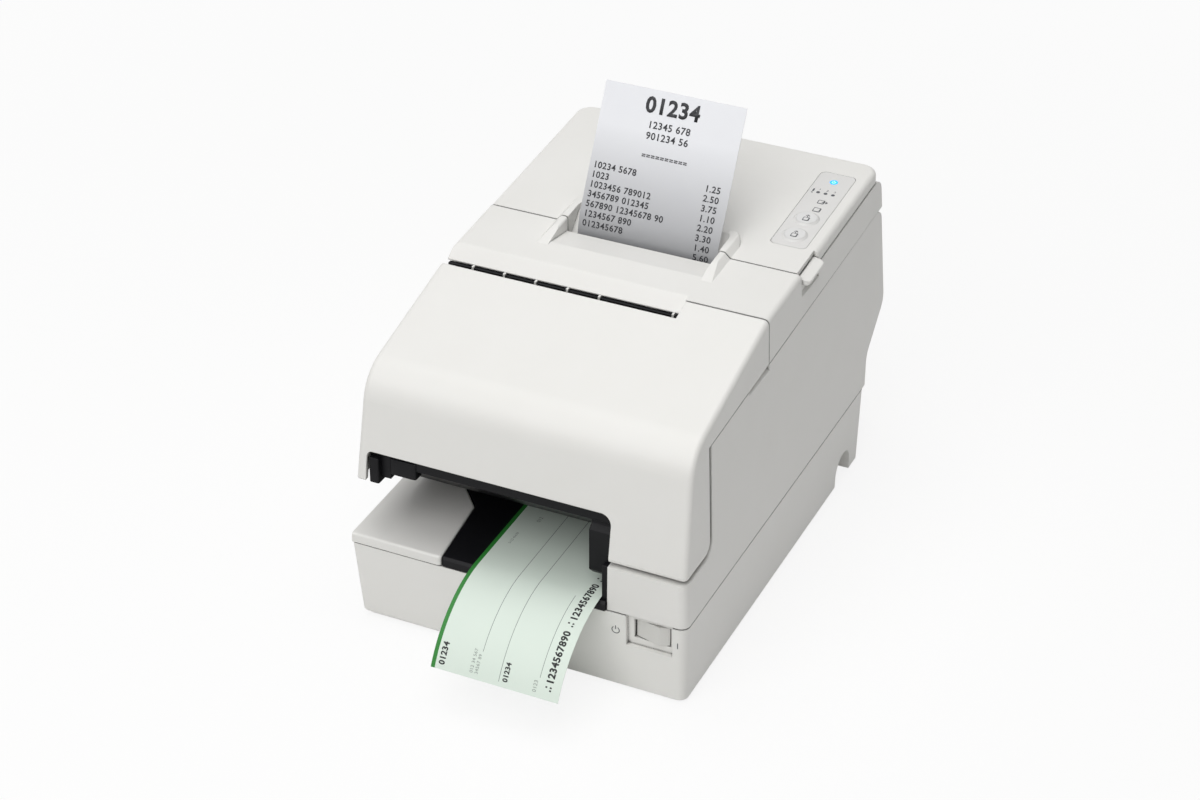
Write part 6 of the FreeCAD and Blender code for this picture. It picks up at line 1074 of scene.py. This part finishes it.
@dataclass
class OperationPanel:
    """Marks on the operation panel, on its power lamp and on its two feed buttons, in millimetres.

    The box's arrow is given by its shaft's start, its barbs' ends and its tip, from the box's left side.
    """

    line_wide: float = 0.42
    heavy: float = 1.8
    figure: float = 2.3
    figure_foot: float = 2.4
    figure_bold: float = 0.015
    figure_pitches: float = -1.5
    dot_pitch: float = 4.2
    dot_radius: float = 1.0
    alert_wide: float = 0.95
    alert_pitches: float = -2.25
    alert_runs: tuple[tuple[float, float], ...] = ((0.2, 2.8), (-1.4, -0.5))
    box_at: tuple[float, float] = (-2.9, -10.2)
    box_side: float = 3.2
    box_arrow: tuple[float, float, float] = (2.0, 4.2, 5.2)
    box_arrow_blunt: float = 0.2
    box_arrow_heavy: float = 1.5
    sheet_at: tuple[float, float] = (-2.4, -18.4)
    sheet_side: float = 3.6
    arrow_half: float = 1.1
    sign_radius: float = 0.9
    sign_wide: float = 0.34
    sign_bar: tuple[float, float] = (0.3, 1.3)
    feed_at: tuple[float, float] = (-1.5, -2.7)
    feed_side: float = 3.0
    feed_wide: float = 0.4
    feed_shaft: tuple[float, float] = (0.4, 2.8)
    feed_head: tuple[float, float] = (1.7, 2.9)
    gap: float = 0.02
    swell: float = 1.3
    swell_points: tuple[int, int] = (9, 96)
    under: float = 0.08
    film_lift: float = 0.02
    film_thick: float = 0.1
    ring_reach: float = 7.5

    def board(self, node: str, x: float, y: float) -> Place:
        """The drawing board on top of a node under one place."""
        return board_on(node, (x * MM, y * MM, OUTSIDE), DOWN)

    def build(self) -> None:
        """Draws the panel's marks and the lamp's sign, and an arrow on each button with the film's swell."""
        low, high = box_mm("panel_lamps")
        middle = (low[0] + high[0]) / 2
        self.panel_marks(self.board("operation_panel", middle + self.dot_pitch / 2, low[1] + self.dot_radius))
        sign = Ink()
        sign.arc((0, 0), self.sign_radius, self.sign_wide, *POWER_RING)
        sign.line((0, self.sign_bar[0]), (0, self.sign_bar[1]), self.sign_wide)
        sign.lay("power_lamp_mark", self.board("panel_lamps", middle, high[1] - LAMP_RADIUS), LAMP_INK,
                 "roll_lid", "lamp")
        for button, body in (("receipt_feed_button", "receipt_button"), ("slip_feed_button", "slip_button")):
            low, high = box_mm(button)
            x, y = (low[0] + high[0]) / 2, (low[1] + high[1]) / 2
            self.feed_mark(button, body, self.board(button, x, y))
            self.film(button, x, y, (high[0] - low[0]) / 2 + self.gap)

    def panel_marks(self, put: Place) -> None:
        """Draws the status lamps' figures and alert sign, and a box and a sheet in front of them.

        Args:
            put: the panel's drawing board at the row of status lamps.
        """
        ink = Ink()
        for number, text in enumerate("123"):
            place = ((number + self.figure_pitches) * self.dot_pitch, self.figure_foot)
            ink.numbers(text, place, self.figure, 0.0, "CENTER", self.figure_bold)
        left = self.alert_pitches * self.dot_pitch
        for start, end in self.alert_runs:
            ink.line((left, start), (left, end), self.alert_wide)
        self.box_mark(ink)
        self.sheet_mark(ink, self.sheet_at, self.sheet_side)
        ink.lay("panel_marks", put, PAD_INK, "roll_lid", "panel")

    def film(self, button: str, x: float, y: float, inner: float) -> None:
        """The overlay's swell round a button, from under the cap's rim down to the panel.

        The height over the panel is the rim's times (1 + cos(pi s)) / 2, where s is the share of the swell's
        width.

        Args:
            button: the button's name.
            x: its middle across in millimetres.
            y: its middle in depth.
            inner: the swell's inner radius.
        """
        top, _ = hit(button, (x * MM, y * MM, OUTSIDE), DOWN)
        foot, normal = hit("operation_panel", ((x + self.ring_reach) * MM, y * MM, OUTSIDE), DOWN)
        rise = float((top - foot) @ normal) / MM - self.under
        rings, around = self.swell_points
        turn = np.linspace(0, 2 * math.pi, around, endpoint=False)
        share, turn = np.meshgrid(np.linspace(0, 1, rings), turn, indexing="ij")
        radius = inner + share * self.swell
        flat = np.stack([radius * np.cos(turn) - self.ring_reach, radius * np.sin(turn)], -1).reshape(-1, 2)
        lift = self.film_lift + rise * (1 + np.cos(math.pi * share.reshape(-1, 1))) / 2
        points = flat_place(foot, normal)(flat, lift)
        faces = grid_faces(rings, around, closed=True)
        made = make_piece(button + "_film", points, faces, PANEL_FILM, "roll_lid")
        skin = made.modifiers.new("film", "SOLIDIFY")
        skin.thickness, skin.offset = self.film_thick * MM, -1.0

    def sheet_mark(self, ink: Ink, place: Sequence[float], side: float) -> None:
        """A small sheet outline, heavier on its near and right sides.

        Args:
            ink: the print that gets it.
            place: its near left corner.
            side: its side's length.
        """
        x, y = place
        corners = [(x, y), (x + side, y), (x + side, y + side), (x, y + side), (x, y)]
        for start, end, share in zip(corners, corners[1:], (self.heavy, self.heavy, 1.0, 1.0)):
            ink.line(start, end, self.line_wide * share)

    def box_mark(self, ink: Ink) -> None:
        """A small box with an arrow leaving it to the right.

        Args:
            ink: the print that gets it.
        """
        x, y = self.box_at
        self.sheet_mark(ink, self.box_at, self.box_side)
        shaft, barb, tip = self.box_arrow
        level = y + self.box_side / 2
        ink.line((x + shaft, level), (x + tip - self.box_arrow_blunt, level),
                 self.line_wide * self.box_arrow_heavy)
        for side in (-self.arrow_half, self.arrow_half):
            ink.line((x + barb, level + side), (x + tip, level), self.line_wide)

    def feed_mark(self, button: str, body: str, put: Place) -> None:
        """A sheet outline with an arrow rising from it, on a button.

        Args:
            button: the button's name.
            body: the body that it moves with.
            put: its drawing board.
        """
        ink = Ink()
        self.sheet_mark(ink, self.feed_at, self.feed_side)
        ink.line((0, self.feed_shaft[0]), (0, self.feed_shaft[1]), self.feed_wide)
        for side in (-self.arrow_half, self.arrow_half):
            ink.line((side, self.feed_head[0]), (0, self.feed_head[1]), self.feed_wide)
        ink.lay(button + "_mark", put, PAD_INK, body, "button")


@dataclass
class SwitchMarks:
    """The power sign and the tick beside the power switch."""

    power_x: float = 54.8
    power_z: float = 36.5
    tick_x: float = 88.4
    tick_z: float = 37.0
    tick_half: float = 1.8
    ring: float = 2.0
    bar_from: float = 0.4
    bar_share: float = 1.35
    stroke: float = 0.5

    def board(self, x: float, z: float) -> Place:
        """The drawing board on the base's front at one place."""
        return board_on("lower_case", (x * MM, -OUTSIDE, z * MM), INWARD)

    def build(self) -> None:
        """Draws a ring open at the top with a bar in the gap, and a short upright tick."""
        power = Ink()
        power.arc((0, 0), self.ring, self.stroke, *POWER_RING)
        power.line((0, self.bar_from), (0, self.ring * self.bar_share), self.stroke)
        power.lay("power_mark", self.board(self.power_x, self.power_z), PAD_INK, "base", "case")
        tick = Ink()
        tick.line((0, -self.tick_half), (0, self.tick_half), self.stroke)
        tick.lay("on_mark", self.board(self.tick_x, self.tick_z), PAD_INK, "base", "case")


@dataclass
class Dressing:
    """Gives every node of the frame the finish of its material slot."""

    def finishes(self) -> dict[str, Finish]:
        """Lists the finish of each slot, with the lens and the roll centred on their nodes.

        Returns:
            The finishes by the slots' names.
        """
        lamps = [np.array(corner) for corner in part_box("panel_lamps")]
        roll = [np.array(corner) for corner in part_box("paper_roll")]
        axis = (roll[0] + roll[1]) / 2
        lamp_y = float(lamps[1][1]) - LAMP_RADIUS * MM
        # Lamp lenses, moulded acrylic: glossy, blue where lit from below, and dark grey where unlit.
        lens = Lens("acrylic_lens", "#4A4B50", "#525359", 0.25, grain_mm=0.6, relief_mm=0.001, edge_mm=0.2,
                    split_m=lamp_y - 2 * LAMP_RADIUS * MM,
                    centre_m=(float(lamps[0][0] + lamps[1][0]) / 2, lamp_y))
        # Roll: thermal paper wound tight, matt, with rings drawn every 0.7 mm so that they show.
        roll_paper = WoundPaper("thermal_paper_wound", "#E6E7EA", "#E0E1E5", 0.6, grain_mm=0.9,
                                relief_mm=0.004, edge_mm=0.1, axis_m=(float(axis[1]), float(axis[2])))
        return {
            "case": CASE_ABS, "rocker": ROCKER_ABS, "button": BUTTON_FILM, "panel": PANEL_FILM, "lamp": lens,
            "black_plastic": BLACK_ABS, "rubber": RUBBER, "sheet_steel": SHEET_STEEL,
            "bright_steel": BRIGHT_STEEL, "motor": MOTOR_CAN, "gear": ACETAL, "bush": BRONZE, "head": ALUMINA,
            "sink": SINK, "board": BOARD, "paper": roll_paper, "form_paper": roll_paper, "core": CORE_BOARD,
        }

    def build(self) -> None:
        """Puts each finish on its nodes."""
        chosen = self.finishes()
        slots = {row["node"]: row["material_slot"] for row in frame["record"]["subparts"]}
        for name, node in frame["nodes"].items():
            node.data.materials.clear()
            node.data.materials.append(chosen[slots[name]].material())
            log.info("%s: %s", name, chosen[slots[name]].name)


@dataclass(frozen=True)
class SoftBox:
    """A round softbox that looks at the printer."""

    name: str
    place: tuple[float, float, float]
    size: float
    watts: float
    aim: tuple[float, float, float] = (0.0, 0.0, 0.08)

    def build(self) -> None:
        """Hangs the softbox at its place and turns it to the printer."""
        lamp = bpy.data.lights.new(self.name, "AREA")
        lamp.energy, lamp.shape, lamp.size = self.watts, "DISK", self.size
        made = bpy.data.objects.new(self.name, lamp)
        made.location = self.place
        made.rotation_mode = "QUATERNION"
        made.rotation_quaternion = (Vector(self.aim) - Vector(self.place)).to_track_quat("-Z", "Y")
        bpy.context.scene.collection.objects.link(made)


@dataclass
class Studio:
    """Pale floor, softboxes above and in front, and the camera."""

    camera_at: tuple[float, float, float] = (0.527354, -1.159079, 0.907733)
    azimuth: float = 25.065
    elevation: float = 32.46
    lens: float = 86.45
    sensor: float = 36.0
    shift: tuple[float, float] = (0.01137, -0.00895)
    floor_half: float = 12.0
    floor_white: float = 0.85
    floor_colour: str = "#F4F4F3"
    floor_rough: float = 0.9
    fade: tuple[float, float] = (0.35, 1.4)
    sky: float = 0.18
    boxes: tuple[SoftBox, ...] = (
        SoftBox("top_box", (-0.1, 0.1, 1.6), 1.4, 12.4),
        SoftBox("front_box", (-0.05, -1.28, 1.42), 1.8, 19.5),
    )

    def build(self) -> None:
        """Builds floor, light and camera."""
        self.floor()
        self.light()
        self.camera()

    def seen(self, tree: bpy.types.NodeTree) -> Socket:
        """Gives 1 for the rays that show the background: from the camera, a mirror or through glass.

        Args:
            tree: the nodes that get the test.
        Returns:
            The test's socket.
        """
        path = add(tree, "ShaderNodeLightPath")
        seen = path.outputs["Is Camera Ray"]
        for kind in ("Is Glossy Ray", "Is Transmission Ray"):
            either = add(tree, "ShaderNodeMath", {0: seen, 1: path.outputs[kind]}, operation="MAXIMUM")
            seen = either.outputs[0]
        return seen

    def floor(self) -> None:
        """A wide plane, mostly white to the camera so that only the shadow shows, all white further out."""
        half = self.floor_half
        mesh = bpy.data.meshes.new("floor")
        corners = np.array([(-half, -half, 0), (half, -half, 0), (half, half, 0), (-half, half, 0)])
        mesh.from_pydata(corners.tolist(), [], [(0, 1, 2, 3)])
        made = bpy.data.objects.new("floor", mesh)
        # Painted board: dull white that takes a soft shadow and has no gloss.
        surface = bpy.data.materials.new("painted_board_white")
        surface.use_nodes = True
        tree = surface.node_tree
        board = tree.nodes["Principled BSDF"]
        board.inputs["Base Color"].default_value = linear(self.floor_colour)
        board.inputs["Roughness"].default_value = self.floor_rough
        away = add(tree, "ShaderNodeVectorMath", {0: add(tree, "ShaderNodeTexCoord").outputs["Object"]},
                   operation="LENGTH")
        whiter = add(tree, "ShaderNodeMapRange", {
            "Value": away.outputs["Value"], "From Min": self.fade[0], "From Max": self.fade[1],
            "To Min": self.floor_white})
        share = add(tree, "ShaderNodeMath", {0: self.seen(tree), 1: whiter.outputs[0]}, operation="MULTIPLY")
        white = add(tree, "ShaderNodeEmission", {"Color": WHITE, "Strength": 1.0})
        mix = add(tree, "ShaderNodeMixShader", {
            0: share.outputs[0], 1: board.outputs[0], 2: white.outputs[0]})
        tree.links.new(mix.outputs[0], tree.nodes["Material Output"].inputs["Surface"])
        made.data.materials.append(surface)
        bpy.context.scene.collection.objects.link(made)

    def light(self) -> None:
        """White behind the object, a dimmer sky on it, and the softboxes."""
        world = bpy.data.worlds.new("studio")
        bpy.context.scene.world = world
        world.use_nodes = True
        tree = world.node_tree
        strength = add(tree, "ShaderNodeMapRange", {
            "Value": self.seen(tree), "To Min": self.sky, "To Max": 1.0})
        back = tree.nodes["Background"]
        back.inputs["Color"].default_value = WHITE
        tree.links.new(strength.outputs[0], back.inputs["Strength"])
        for box in self.boxes:
            box.build()

    def camera(self) -> None:
        """The photograph's camera: place, direction, lens and framing."""
        view = bpy.data.cameras.new("camera")
        view.lens, view.sensor_width = self.lens, self.sensor
        view.shift_x, view.shift_y = self.shift
        made = bpy.data.objects.new("camera", view)
        a, e = math.radians(self.azimuth), math.radians(self.elevation)
        back = Vector((math.sin(a) * math.cos(e), -math.cos(a) * math.cos(e), math.sin(e)))
        made.location = self.camera_at
        made.rotation_mode = "QUATERNION"
        made.rotation_quaternion = (-back).to_track_quat("-Z", "Y")
        bpy.context.scene.collection.objects.link(made)
        bpy.context.scene.camera = made


def main() -> None:
    """Builds the classes in order."""
    logging.basicConfig(level=logging.INFO, format="%(message)s")
    bpy.context.scene.view_settings.view_transform = "Standard"
    makers = (Dressing, GuideBlocks, BaseApron, HeadSprings, Receipt, SlipForm, OperationPanel, SwitchMarks,
              Studio)
    for maker in makers:
        log.info("building %s", maker.__name__)
        maker().build()


if __name__ == "__main__":
    main()
